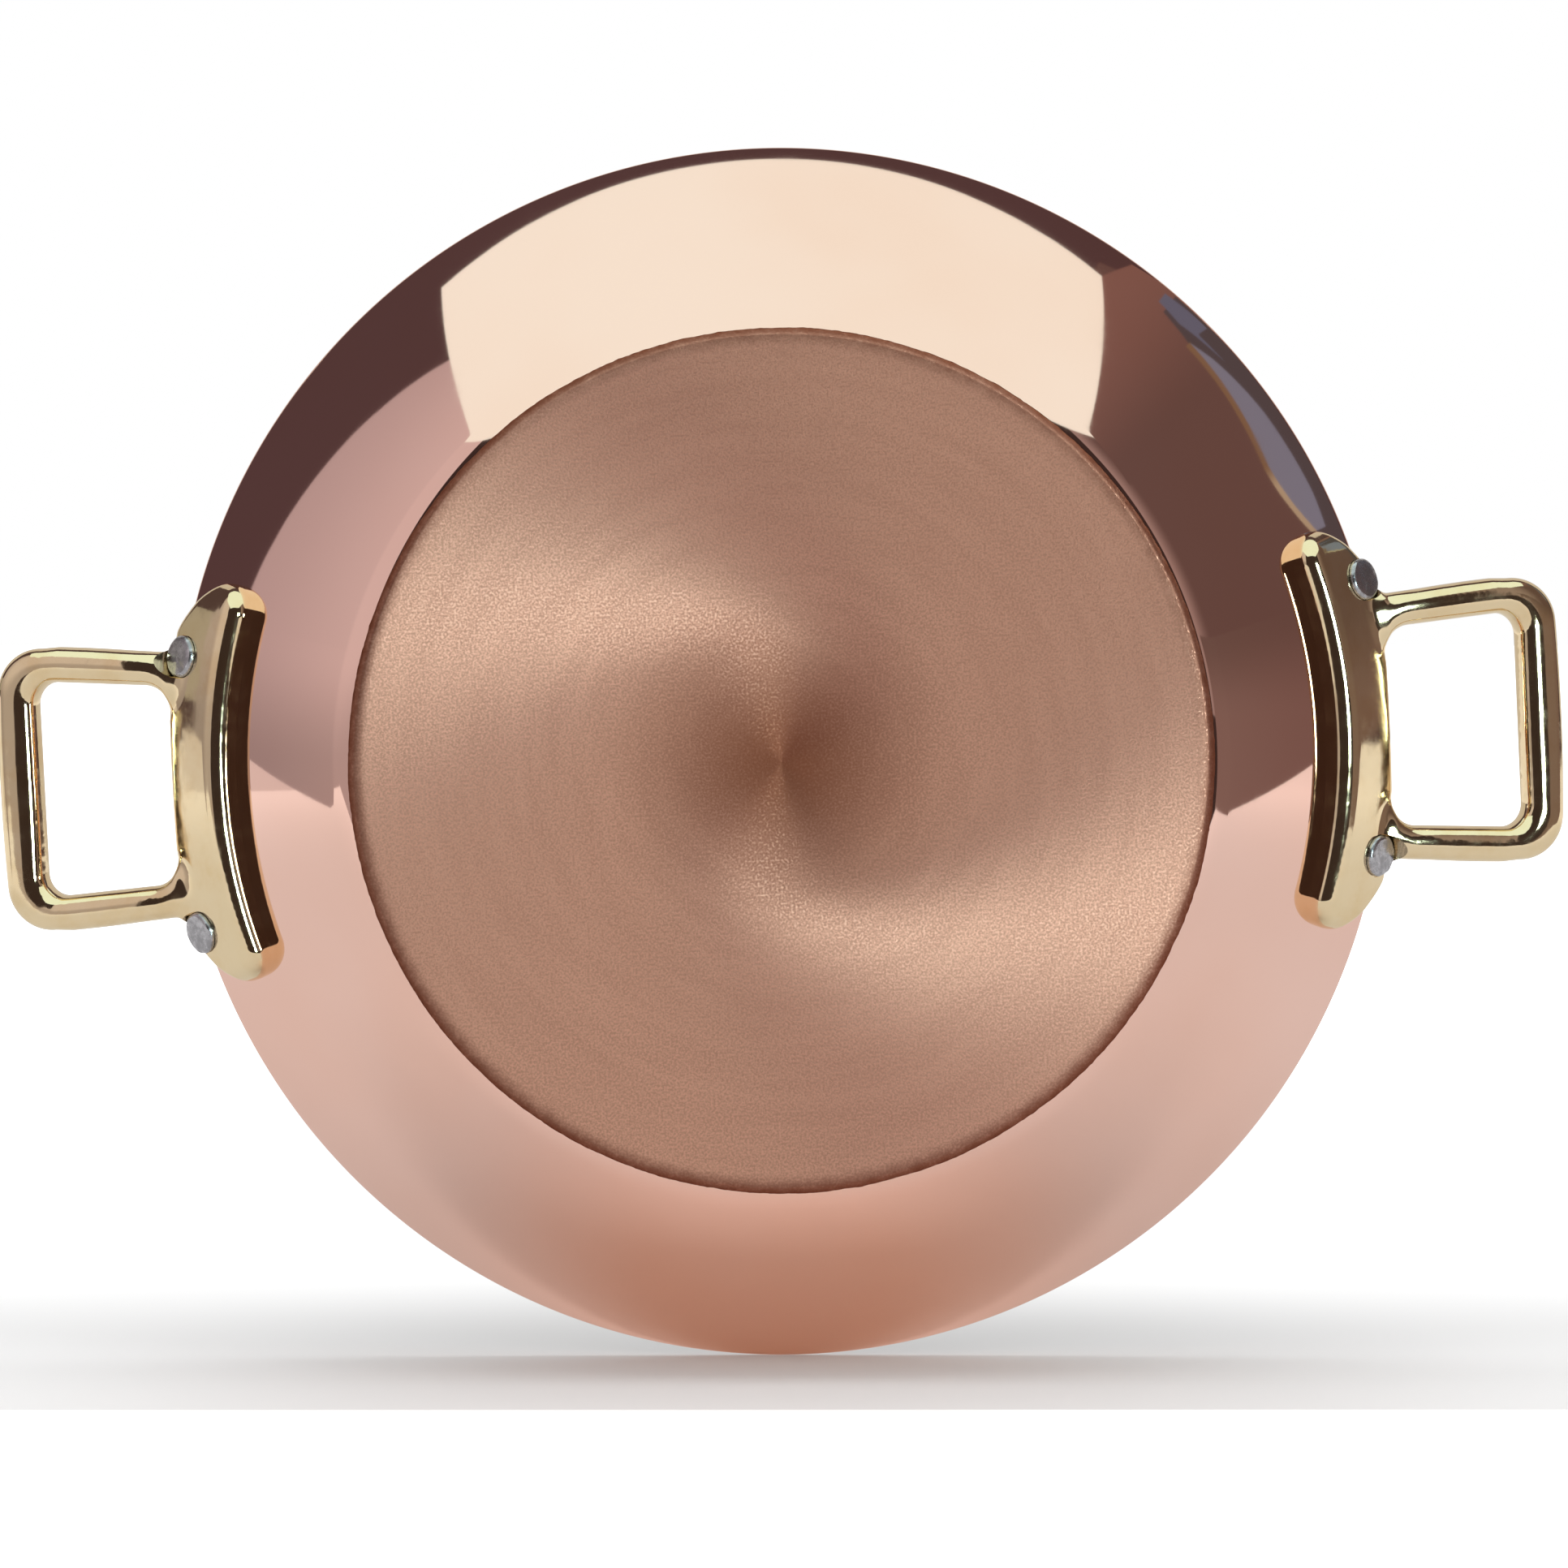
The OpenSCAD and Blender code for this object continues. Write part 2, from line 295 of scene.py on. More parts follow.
def lathe_tree() -> NodeTree:
    """Turns an outline round Z. The outline is a row of points, in order, from the axis to the axis.

    Returns:
        The geometry tree.
    """
    tree, g, given = start_tree("Lathe", Outline="Geometry", Segments="Int")
    count = g.add("GeometryNodeAttributeDomainSize", {"Geometry": given["Outline"]}, component="MESH")
    around = g.maths("ADD", given["Segments"], 1)
    grid = g.add("GeometryNodeMeshGrid", {"Vertices X": count.outputs["Point Count"], "Vertices Y": around})
    index = g.add("GeometryNodeInputIndex").outputs[0]
    row = g.maths("FLOOR", g.maths("DIVIDE", index, around))
    turn = g.maths("DIVIDE", g.maths("MODULO", index, around), given["Segments"])
    place = g.add("GeometryNodeInputPosition").outputs[0]
    inputs = {"Geometry": given["Outline"], "Value": place, "Index": row}
    sample = g.add("GeometryNodeSampleIndex", inputs, data_type="FLOAT_VECTOR")
    turned = g.turned(sample.outputs[0], g.maths("MULTIPLY", turn, math.tau))
    solid = g.add("GeometryNodeSetPosition", {"Geometry": grid.outputs[0], "Position": turned})
    merged = g.add("GeometryNodeMergeByDistance", {"Geometry": solid.outputs[0], "Distance": MERGE_GAP})
    smooth = g.add("GeometryNodeSetShadeSmooth", {"Geometry": merged.outputs[0]})
    finish_solid(g, smooth.outputs[0], given["Finish"])
    return tree


def ragged_tree(broad_scale: float = 90, fine_scale: float = 700) -> NodeTree:
    """Moves the edge of a sprayed layer in and out along its slope, as overspray does.

    Args:
        broad_scale: The broad bays, to a metre.
        fine_scale: The fine notches, to a metre.

    Returns:
        The geometry tree.
    """
    tree, g, given = start_tree(
        "Ragged edge", Solid="Geometry", From_Radius="Float", To_Radius="Float", Depth="Float", Slope="Float"
    )
    place = g.add("GeometryNodeInputPosition").outputs[0]
    flat = g.vector("MULTIPLY", place, (1, 1, 0))
    weight = g.ease(g.vector("LENGTH", flat), given["From Radius"], given["To Radius"])
    broad = g.maths("MULTIPLY", g.noise(place, broad_scale), 0.5)
    fine = g.maths("MULTIPLY", g.noise(place, fine_scale), 0.5)
    swing = g.maths("MULTIPLY", g.maths("SUBTRACT", g.maths("ADD", broad, fine), 0.5), 2)
    step = g.maths("MULTIPLY", g.maths("MULTIPLY", swing, given["Depth"]), weight)
    away = g.vector("NORMALIZE", flat)
    across = g.scaled(away, g.maths("MULTIPLY", step, g.maths("COSINE", given["Slope"])))
    up = g.add("ShaderNodeCombineXYZ", {"Z": g.maths("MULTIPLY", step, g.maths("SINE", given["Slope"]))})
    offset = g.vector("ADD", across, up.outputs[0])
    moved = g.add("GeometryNodeSetPosition", {"Geometry": given["Solid"], "Offset": offset})
    finish_solid(g, moved.outputs[0], given["Finish"])
    return tree


def rivets_tree() -> NodeTree:
    """Puts a turned rivet at every point, along that point's axis, and dents each head a little.

    Returns:
        The geometry tree.
    """
    tree, g, given = start_tree("Rivets", Places="Geometry", Rivet="Object", Dent="Float", Dent_Size="Float")
    rivet = g.add("GeometryNodeObjectInfo", {"Object": given["Rivet"]}, transform_space="ORIGINAL")
    axis = g.add("GeometryNodeInputNamedAttribute", {"Name": "axis"}, data_type="FLOAT_VECTOR")
    along = g.add("FunctionNodeAlignRotationToVector", {"Vector": axis.outputs[0]}, axis="Z")
    inputs = {"Points": given["Places"], "Instance": rivet.outputs["Geometry"], "Rotation": along.outputs[0]}
    placed = g.add("GeometryNodeInstanceOnPoints", inputs)
    real = g.add("GeometryNodeRealizeInstances", {"Geometry": placed.outputs[0]})
    place = g.add("GeometryNodeInputPosition").outputs[0]
    dent = g.ease(g.noise(place, g.maths("DIVIDE", 1, given["Dent Size"]), 1), 0.45, 0.7)
    depth = g.maths("MULTIPLY", dent, g.maths("MULTIPLY", given["Dent"], -1))
    offset = g.scaled(g.add("GeometryNodeInputNormal").outputs[0], depth)
    dented = g.add("GeometryNodeSetPosition", {"Geometry": real.outputs[0], "Offset": offset})
    finish_solid(g, dented.outputs[0], given["Finish"])
    return tree


def finish_solid(g: Nodes, solid: NodeSocket, finish: NodeSocket) -> None:
    """Ends a geometry tree: instances made real, and the finish put on.

    Args:
        g: The tree's nodes.
        solid: The geometry so far.
        finish: The input that holds the material.
    """
    real = g.add("GeometryNodeRealizeInstances", {"Geometry": solid})
    dressed = g.add("GeometryNodeSetMaterial", {"Geometry": real.outputs[0], "Material": finish})
    g.add("NodeGroupOutput", {0: dressed.outputs[0]})


@dataclass(frozen=True)
class PanProfile:
    """The pan's outline: a flat, a bend and a long outward curve, all tangent, up to a rounded rim."""

    rim_r: float
    height: float
    flat_r: float = 80 * MM
    bend_r: float = 10 * MM
    curve_r: float = 230 * MM
    copper_t: float = 1.8 * MM
    lining_t: float = 0.2 * MM
    spray_t: float = 0.4 * MM
    spray_reach: float = 3 * MM

    @property
    def wall_t(self) -> float:
        """The copper and its lining together."""
        return self.copper_t + self.lining_t

    @property
    def bend_centre(self) -> np.ndarray:
        """The centre of the bend's outside, as radius and height."""
        return np.array([self.flat_r, self.spray_t + self.bend_r])

    @property
    def rim_centre(self) -> np.ndarray:
        """The centre of the rim's rounding."""
        return np.array([self.rim_r, self.height]) - self.copper_t / 2

    @cached_property
    def foot_slope(self) -> float:
        """The slope at which the bend ends and the wall starts."""
        way = self.rim_centre - self.bend_centre
        less = self.curve_r - self.bend_r
        middle = self.curve_r - self.copper_t / 2
        fit = (middle**2 - less**2 - way @ way) / (2 * less)
        return math.atan2(way[1], way[0]) + math.pi / 2 - math.acos(fit / math.hypot(*way))

    @cached_property
    def curve_centre(self) -> np.ndarray:
        """The centre of the wall's long curve."""
        return self.bend_centre - (self.curve_r - self.bend_r) * self.facing(self.foot_slope)

    @cached_property
    def rim_slope(self) -> float:
        """The wall's slope at the rim."""
        way = self.rim_centre - self.curve_centre
        return math.atan2(way[1], way[0]) + math.pi / 2

    @staticmethod
    def facing(slope: object) -> np.ndarray:
        """The direction that faces out where the outline has a slope."""
        return np.stack([np.sin(slope), -np.cos(slope)], -1)

    def wall(self, slope: object, lift: object = 0.0) -> np.ndarray:
        """Radius and height where the wall has a slope, lifted off its outside face."""
        reach = np.asarray(self.curve_r + np.asarray(lift))[..., None]
        return self.curve_centre + reach * self.facing(slope)

    def climb(self, drop: float) -> float:
        """The slope a given way down the wall from the rim."""
        return self.rim_slope - drop / self.curve_r

    def face(self, inset: float, bend_steps: int = 40, wall_steps: int = 44) -> np.ndarray:
        """One face of a layer, from the axis to the rim.

        Args:
            inset: The face's depth inside the copper's outside face.
            bend_steps: Steps round the bend.
            wall_steps: Steps up the wall.

        Returns:
            Rows of radius and height.
        """
        floor_z = self.spray_t + inset
        flat_shares = np.array([0, 0.1, 0.5, 0.9, 0.99])
        flat = np.stack([self.flat_r * flat_shares, np.full(len(flat_shares), floor_z)], -1)
        bend = self.facing(np.linspace(0, self.foot_slope, bend_steps, endpoint=False))
        wall = self.wall(np.linspace(self.foot_slope, self.rim_slope, wall_steps + 1), -inset)
        return np.vstack([flat, self.bend_centre + (self.bend_r - inset) * bend, wall])


class Turned:
    """A piece that is turned on the lathe round Z, or round its own axis."""

    tree: NodeTree | None = None

    @classmethod
    def turn(cls, name: str, outline: np.ndarray, finish: Material, segments: int) -> Object:
        """Turns an outline into a closed solid.

        Args:
            name: The piece's name.
            outline: Rows of radius and height, from the axis to the axis.
            finish: Its material.
            segments: Steps round the axis.

        Returns:
            The object.
        """
        if Turned.tree is None:
            Turned.tree = lathe_tree()
        points = np.stack([outline[:, 0], np.zeros(len(outline)), outline[:, 1]], -1)
        edges = [(i, i + 1) for i in range(len(points) - 1)]
        made = new_object(name, points, [], edges)
        made.data.materials.append(finish)
        run_tree(made, Turned.tree, Segments=segments, Finish=finish)
        face_out(made)
        return made


@dataclass(frozen=True)
class PolishedCopper:
    """Mirror-polished copper, with the faint rings that spinning and polishing leave."""

    tone: tuple = colour(0.955, 0.638, 0.538)
    deep_tone: tuple = colour(0.93, 0.59, 0.48)
    roughness: float = 0.035
    smudge: float = 0.03
    ring_mark: float = 0.012
    ring_pitch: float = 1.2 * MM
    cloud_scale: float = 14
    smudge_scale: float = 40
    wave_scale: float = 22
    relief: float = 0.05
    depth: float = 1 * MM

    def material(self) -> Material:
        """Builds the finish.

        Returns:
            The material.
        """
        made, s, place, shader = start_finish("Polished copper")
        cloud = s.ease(s.noise(place, self.cloud_scale, 3), 0.35, 0.75)
        smudge = s.ease(s.noise(place, self.smudge_scale, 4, 0.6), 0.5, 0.8, 0, self.smudge)
        line = s.noise(ring_place(s, place, self.ring_pitch, 3), 1, 2, 0.6)
        rings = s.ease(line, 0.5, 0.8, 0, self.ring_mark)
        s.feed(shader, {
            "Base Color": s.mix(cloud, self.tone, self.deep_tone),
            "Roughness": s.maths("ADD", s.maths("ADD", smudge, self.roughness), rings),
        })
        fine = s.maths("MULTIPLY", line, self.ring_mark)
        height = s.maths("ADD", fine, s.noise(place, self.wave_scale, 1))
        bump(s, shader, height, self.relief, self.depth)
        return made


@dataclass(frozen=True)
class BrushedLining:
    """Stainless steel, brushed in rings."""

    tone: tuple = colour(0.62, 0.61, 0.60)
    dark_tone: tuple = colour(0.5332, 0.5246, 0.516)
    roughness: float = 0.28
    rough_range: float = 0.1
    spread: float = 0.6
    ring_pitch: float = 0.35 * MM
    relief: float = 0.12
    depth: float = 0.05 * MM

    def material(self) -> Material:
        """Builds the finish.

        Returns:
            The material.
        """
        made, s, place, shader = start_finish("Brushed lining")
        line = s.noise(ring_place(s, place, self.ring_pitch, 6), 1, 3, 0.7)
        s.feed(shader, {
            "Base Color": s.mix(s.ease(line, 0.3, 0.7), self.dark_tone, self.tone),
            "Roughness": s.ease(line, 0.2, 0.8, self.roughness, self.roughness + self.rough_range),
            "Anisotropic": self.spread,
            "Tangent": spread_way(s, place, 0),
        })
        bump(s, shader, line, self.relief, self.depth)
        return made


@dataclass(frozen=True)
class SprayedMetal:
    """Sprayed magnetic metal: grainy, copper-brown, glittering, laid on in a slow spiral."""

    edge_r: float
    tone: tuple = colour(0.92, 0.495, 0.355)
    deep_tone: tuple = colour(0.68, 0.34, 0.238)
    # painted shade: a dark heart tone for the dark middle of the base's reflection
    painted_heart_shade_tone: tuple = colour(0.30, 0.09, 0.04)
    painted_heart_shade_share: float = 0.85
    edge_tone: tuple = colour(0.22, 0.06, 0.03)
    grain: float = 0.44 * MM
    grain_relief: float = 0.03 * MM
    ring_pitch: float = 3.5 * MM
    ring_share: float = 0.15
    edge_w: float = 4.4 * MM
    edge_past: float = 0.4 * MM
    edge_wander: float = 1.6 * MM
    wander_scale: float = 350
    heart_r: float = 38 * MM
    roughness: float = 0.52
    heart_roughness: float = 0.6
    spark: float = 0.2
    spread: float = 0.92
    twist: float = 0.044
    most_turn: float = math.radians(100)
    dish: float = 0.06
    bare: float = 0.9

    def material(self) -> Material:
        """Builds the finish.

        Returns:
            The material.
        """
        made, s, place, shader = start_finish("Sprayed metal")
        radius = s.vector("LENGTH", s.vector("MULTIPLY", place, (1, 1, 0)))
        grain = s.noise(place, 1 / self.grain, 2, 0.6)
        rings = s.noise(ring_place(s, place, self.ring_pitch, 2), 1, 3, 0.6)
        grain_part = s.maths("MULTIPLY", grain, 1 - self.ring_share)
        shade = s.maths("ADD", grain_part, s.maths("MULTIPLY", rings, self.ring_share))
        base = s.mix(s.ease(shade, 0.36, 0.64), self.deep_tone, self.tone)
        # Painted shade: the base colour darkens towards the middle, standing in for the dark heart of its
        # reflection.
        base = s.mix(s.ease(radius, 0, self.heart_r, self.painted_heart_shade_share, 0), base, self.painted_heart_shade_tone)
        stray = s.maths("SUBTRACT", s.noise(place, self.wander_scale, 3, 0.7), 0.5)
        strayed = s.maths("ADD", radius, s.maths("MULTIPLY", stray, self.edge_wander))
        rim = self.edge_r + self.edge_past
        near_edge = s.ease(strayed, rim - self.edge_w, rim)
        spark = s.ease(s.noise(place, 1 / self.grain, 0), 0.62, 0.72, 0, self.spark)
        rough = s.ease(radius, 0.3 * self.heart_r, 1.3 * self.heart_r, self.heart_roughness, self.roughness)
        spiral = s.maths("DIVIDE", self.twist, s.maths("MAXIMUM", radius, 1 * MM))
        turn = s.maths("MULTIPLY", s.maths("SMOOTH_MIN", spiral, self.most_turn, 0.4), -1)
        s.feed(shader, {
            "Base Color": s.mix(near_edge, base, self.edge_tone),
            "Roughness": s.maths("SUBTRACT", rough, spark),
            "Anisotropic": self.spread,
            "Metallic": self.bare,
            "Tangent": spread_way(s, place, turn),
        })
        relief = s.maths("MULTIPLY", grain, self.grain_relief)
        bump(s, shader, s.maths("ADD", relief, s.maths("MULTIPLY", radius, self.dish)), 1, 1)
        return made


@dataclass(frozen=True)
class CastBrass:
    """Cast brass, polished over slightly wavy skin, with casting pits inside the outer bars."""

    pit_x: float
    tone: tuple = colour(0.87, 0.70, 0.45)
    deep_tone: tuple = colour(0.82, 0.62, 0.36)
    roughness: float = 0.06
    smudge: float = 0.08
    wave_relief: float = 0.25
    pit_relief: float = 0.12
    pit_near: float = 1 * MM
    pit_far: float = 3 * MM
    cloud_scale: float = 120
    smudge_scale: float = 260
    wave_scale: float = 150
    pit_scale: float = 300
    relief: float = 0.35
    depth: float = 0.6 * MM

    def material(self) -> Material:
        """Builds the finish.

        Returns:
            The material.
        """
        made, s, place, shader = start_finish("Cast brass")
        cloud = s.ease(s.noise(place, self.cloud_scale, 4, 0.6), 0.4, 0.8)
        smudge = s.ease(s.noise(place, self.smudge_scale, 4, 0.7), 0.4, 0.8, 0, self.smudge)
        s.feed(shader, {
            "Base Color": s.mix(cloud, self.tone, self.deep_tone),
            "Roughness": s.maths("ADD", smudge, self.roughness),
        })
        off = s.maths("ABSOLUTE", s.maths("SUBTRACT", s.maths("ABSOLUTE", s.part(place, 0)), self.pit_x))
        pits = s.ease(s.noise(place, self.pit_scale, 1), 0.45, 0.8)
        pits = s.maths("MULTIPLY", pits, s.ease(off, self.pit_near, self.pit_far, 1, 0))
        waves = s.maths("MULTIPLY", s.noise(place, self.wave_scale, 1), self.wave_relief)
        height = s.maths("SUBTRACT", waves, s.maths("MULTIPLY", pits, self.pit_relief))
        bump(s, shader, height, self.relief, self.depth)
        return made


@dataclass(frozen=True)
class RivetSteel:
    """Soft steel, flattened by the hammer."""

    tone: tuple = colour(0.58, 0.56, 0.58)
    dark_tone: tuple = colour(0.348, 0.336, 0.348)
    roughness: float = 0.34
    worn_roughness: float = 0.2
    cloud_scale: float = 500
    relief_scale: float = 900
    relief: float = 0.3
    depth: float = 0.2 * MM

    def material(self) -> Material:
        """Builds the finish.

        Returns:
            The material.
        """
        made, s, place, shader = start_finish("Rivet steel")
        cloud = s.noise(place, self.cloud_scale, 4, 0.7)
        base = s.mix(s.ease(cloud, 0.35, 0.7), self.dark_tone, self.tone)
        s.feed(shader, {
            "Base Color": base,
            "Roughness": s.ease(cloud, 0.3, 0.7, self.roughness, self.worn_roughness),
        })
        bump(s, shader, s.noise(place, self.relief_scale, 3), self.relief, self.depth)
        return made


def start_finish(name: str) -> tuple[Material, Nodes, NodeSocket, Node]:
    """Starts a metal's material.

    Args:
        name: The material's name.

    Returns:
        The material, its nodes, the Object coordinates and the metal shader.
    """
    made, s, place = new_look(name)
    shader = s.add("ShaderNodeBsdfPrincipled", {"Metallic": 1.0})
    s.surface(shader.outputs[0])
    return made, s, place, shader


def bump(s: Nodes, shader: Node, height: object, strength: float, distance: float) -> None:
    """Gives a shader a relief of some depth in metres, which counts by its strength."""
    inputs = {"Height": height, "Strength": strength, "Distance": distance}
    s.feed(shader, {"Normal": s.add("ShaderNodeBump", inputs).outputs[0]})


def ring_place(s: Nodes, place: object, pitch: float, around: float) -> NodeSocket:
    """Coordinates that stretch a pattern into rings round Z.

    Args:
        s: The material's nodes.
        place: Object coordinates.
        pitch: The rings' distance from each other.
        around: Features to a turn.

    Returns:
        The coordinates.
    """
    flat = s.vector("MULTIPLY", place, (1, 1, 0))
    across = s.maths("MULTIPLY", s.vector("LENGTH", flat), 1 / pitch)
    ring = s.add("ShaderNodeCombineXYZ", {"Z": across}).outputs[0]
    return s.vector("ADD", s.scaled(s.vector("NORMALIZE", flat), around), ring)


def spread_way(s: Nodes, place: object, turn: object) -> NodeSocket:
    """The way in which rings of fine grooves spread a highlight: square to them, or turned from there."""
    return s.turned(s.vector("NORMALIZE", s.vector("MULTIPLY", place, (1, 1, 0))), turn)


@dataclass
class PanBody:
    """The copper, its steel lining and the sprayed layer on the base."""

    profile: PanProfile
    segments: int = 384
    rim_steps: int = 12
    ragged_depth: float = 0.45 * MM
    ragged_from: float = 0.3
    edge_thinning: float = 0.85
    hair: float = 0.01 * MM

    def copper(self) -> None:
        """Turns the copper body with its rounded rim."""
        p = self.profile
        outside = p.face(0)
        rim = np.linspace(p.rim_slope, p.rim_slope + math.pi, self.rim_steps + 1)[1:-1]
        rounding = p.rim_centre + p.copper_t / 2 * p.facing(rim)
        inside = p.face(p.copper_t - self.hair, 12, 16)[::-1]
        outline = np.vstack([outside, rounding, inside])
        made = Turned.turn("copper_body", outline, PolishedCopper().material(), self.segments)
        dress(made, "polished_copper", "copper_shell")

    def lining(self) -> None:
        """Turns the steel lining."""
        p = self.profile
        outline = np.vstack([p.face(p.wall_t), p.face(p.copper_t, 12, 16)[::-1]])
        made = Turned.turn("brushed_lining", outline, BrushedLining().material(), self.segments)
        made.data.set_sharp_from_angle(angle=math.radians(50))
        dress(made, "lining_steel", "steel_lining")

    def sprayed_layer(self) -> None:
        """Turns the sprayed layer, thinned to a ragged edge on the bend."""
        p = self.profile
        reach = math.asin(p.spray_reach / p.bend_r)
        turns = np.linspace(0, reach, 25)[1:]
        thick = p.spray_t * (1 - self.edge_thinning * smooth_step((turns / reach - 0.5) / 0.5))
        shares = np.array([0, 0.02, 0.1, 0.3, 0.5, 0.7, 0.9, 0.97, 1])
        flat = np.stack([p.flat_r * shares, np.zeros(len(shares))], -1)
        outer = p.bend_centre + (p.bend_r + thick)[:, None] * p.facing(turns)
        inner = p.bend_centre + (p.bend_r + self.hair) * p.facing(turns[::-1])
        top = flat[::-1] + np.array([0, p.spray_t - self.hair])
        outline = np.vstack([flat, outer, inner, top])
        edge_r = p.flat_r + p.spray_reach
        finish = SprayedMetal(edge_r).material()
        made = Turned.turn("sprayed_layer", outline, finish, 2 * self.segments)
        run_tree(
            made, ragged_tree(), From_Radius=p.flat_r + self.ragged_from * p.spray_reach, To_Radius=edge_r,
            Depth=self.ragged_depth, Slope=reach, Finish=finish,
        )
        dress(made, "sprayed_metal", "sprayed_base")


def dress(piece: Object, slot: str, *nodes: str) -> None:
    """Lets a finished piece ride on the pan, in place of the solids that it stands for.

    Args:
        piece: The piece.
        slot: The record's material slot, which is not used.
        *nodes: The solids that it stands for.
    """
    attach(piece, "root")
    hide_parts(*nodes)
    LOG.info("%s: %d faces", piece.name, len(piece.data.polygons))


@dataclass(frozen=True)
class RivetPlan:
    """Where a handle's rivets stand, and their sizes."""

    shank_d: float = 5 * MM
    outer_d: float = 8.4 * MM
    outer_h: float = 1.5 * MM
    edge_share: float = 0.6
    edge_drop: float = 0.02 * MM
    crown: float = 0.12 * MM
    inner_d: float = 11 * MM
    inner_h: float = 1.7 * MM
    pitch: float = 53 * MM
    shift: float = 2 * MM
    drop: float = 7.25 * MM
    gap: float = 0.03 * MM
    seat: float = 5.17 * MM
    seat_margin: float = 0.15 * MM
    segments: int = 96

    def places(self, profile: PanProfile, side: Side) -> list[tuple[Vector, Vector]]:
        """The two rivets of a handle.

        Args:
            profile: The pan's outline.
            side: Which handle.

        Returns:
            For each rivet, its foot on the copper's outside face and its outward axis.
        """
        slope = profile.climb(self.drop)
        foot = profile.wall(slope)
        out = profile.facing(slope)
        made = []
        for way in (-1, 1):
            turn = side.value + (way * self.pitch / 2 - self.shift) / foot[0]
            around = Matrix.Rotation(turn, 3, "Z")
            made.append((around @ Vector((foot[0], 0, foot[1])), around @ Vector((out[0], 0, out[1]))))
        return made


@dataclass
class Rivets:
    """The four steel rivets, turned once and set by geometry nodes."""

    profile: PanProfile
    plan: RivetPlan
    dent: float = 0.12 * MM
    dent_size: float = 3 * MM

    def outline(self) -> np.ndarray:
        """Lays out one rivet.

        Returns:
            Rows of radius and height, from the top of its outside head to the top of its inside head.
        """
        p = self.plan
        slope = self.profile.climb(p.drop)
        foot_r = self.profile.wall(slope)[0]
        back = self.profile.wall_t + (p.inner_d / 2) ** 2 * math.sin(slope) / (2 * foot_r) + p.gap
        edge = p.edge_share * p.outer_h
        top = p.seat + p.outer_h
        crown = [(r * p.outer_d / 2, top - p.crown * r * r) for r in (0, 0.25, 0.5)]
        turns = np.linspace(math.radians(80), 0, 9)
        centre = np.array([p.outer_d / 2 - edge, top - edge - p.edge_drop])
        rounding = [centre + edge * np.array([math.cos(a), math.sin(a)]) for a in turns]
        ends = ((p.outer_d, p.seat), (p.shank_d, p.seat), (p.shank_d, -back), (p.inner_d, -back))
        shank = [(across / 2, up) for across, up in ends]
        dome_r = ((p.inner_d / 2) ** 2 + p.inner_h**2) / (2 * p.inner_h)
        sweep = math.asin(p.inner_d / 2 / dome_r)
        dome = [
            (dome_r * math.sin(a), -back - p.inner_h + dome_r * (1 - math.cos(a)))
            for a in np.linspace(sweep, 0, 16)[1:]
        ]
        return np.array(crown + rounding + shank + dome)

    def build(self) -> None:
        """Turns one rivet and sets it at the four places."""
        finish = RivetSteel().material()
        one = Turned.turn("rivet_pattern", self.outline(), finish, self.plan.segments)
        places = [place for side in Side for place in self.plan.places(self.profile, side)]
        made = new_object("rivets", [foot for foot, _ in places], [])
        axes = made.data.attributes.new("axis", "FLOAT_VECTOR", "POINT")
        axes.data.foreach_set("vector", [x for _, axis in places for x in axis])
        made.data.materials.append(finish)
        run_tree(made, rivets_tree(), Rivet=one, Dent=self.dent, Dent_Size=self.dent_size, Finish=finish)
        bpy.data.objects.remove(one)
        made.data.set_sharp_from_angle(angle=math.radians(55))
        nodes = [f"{side}_{end}_rivet" for side in ("left", "right") for end in ("front", "rear")]
        dress(made, "rivet_steel", *nodes)


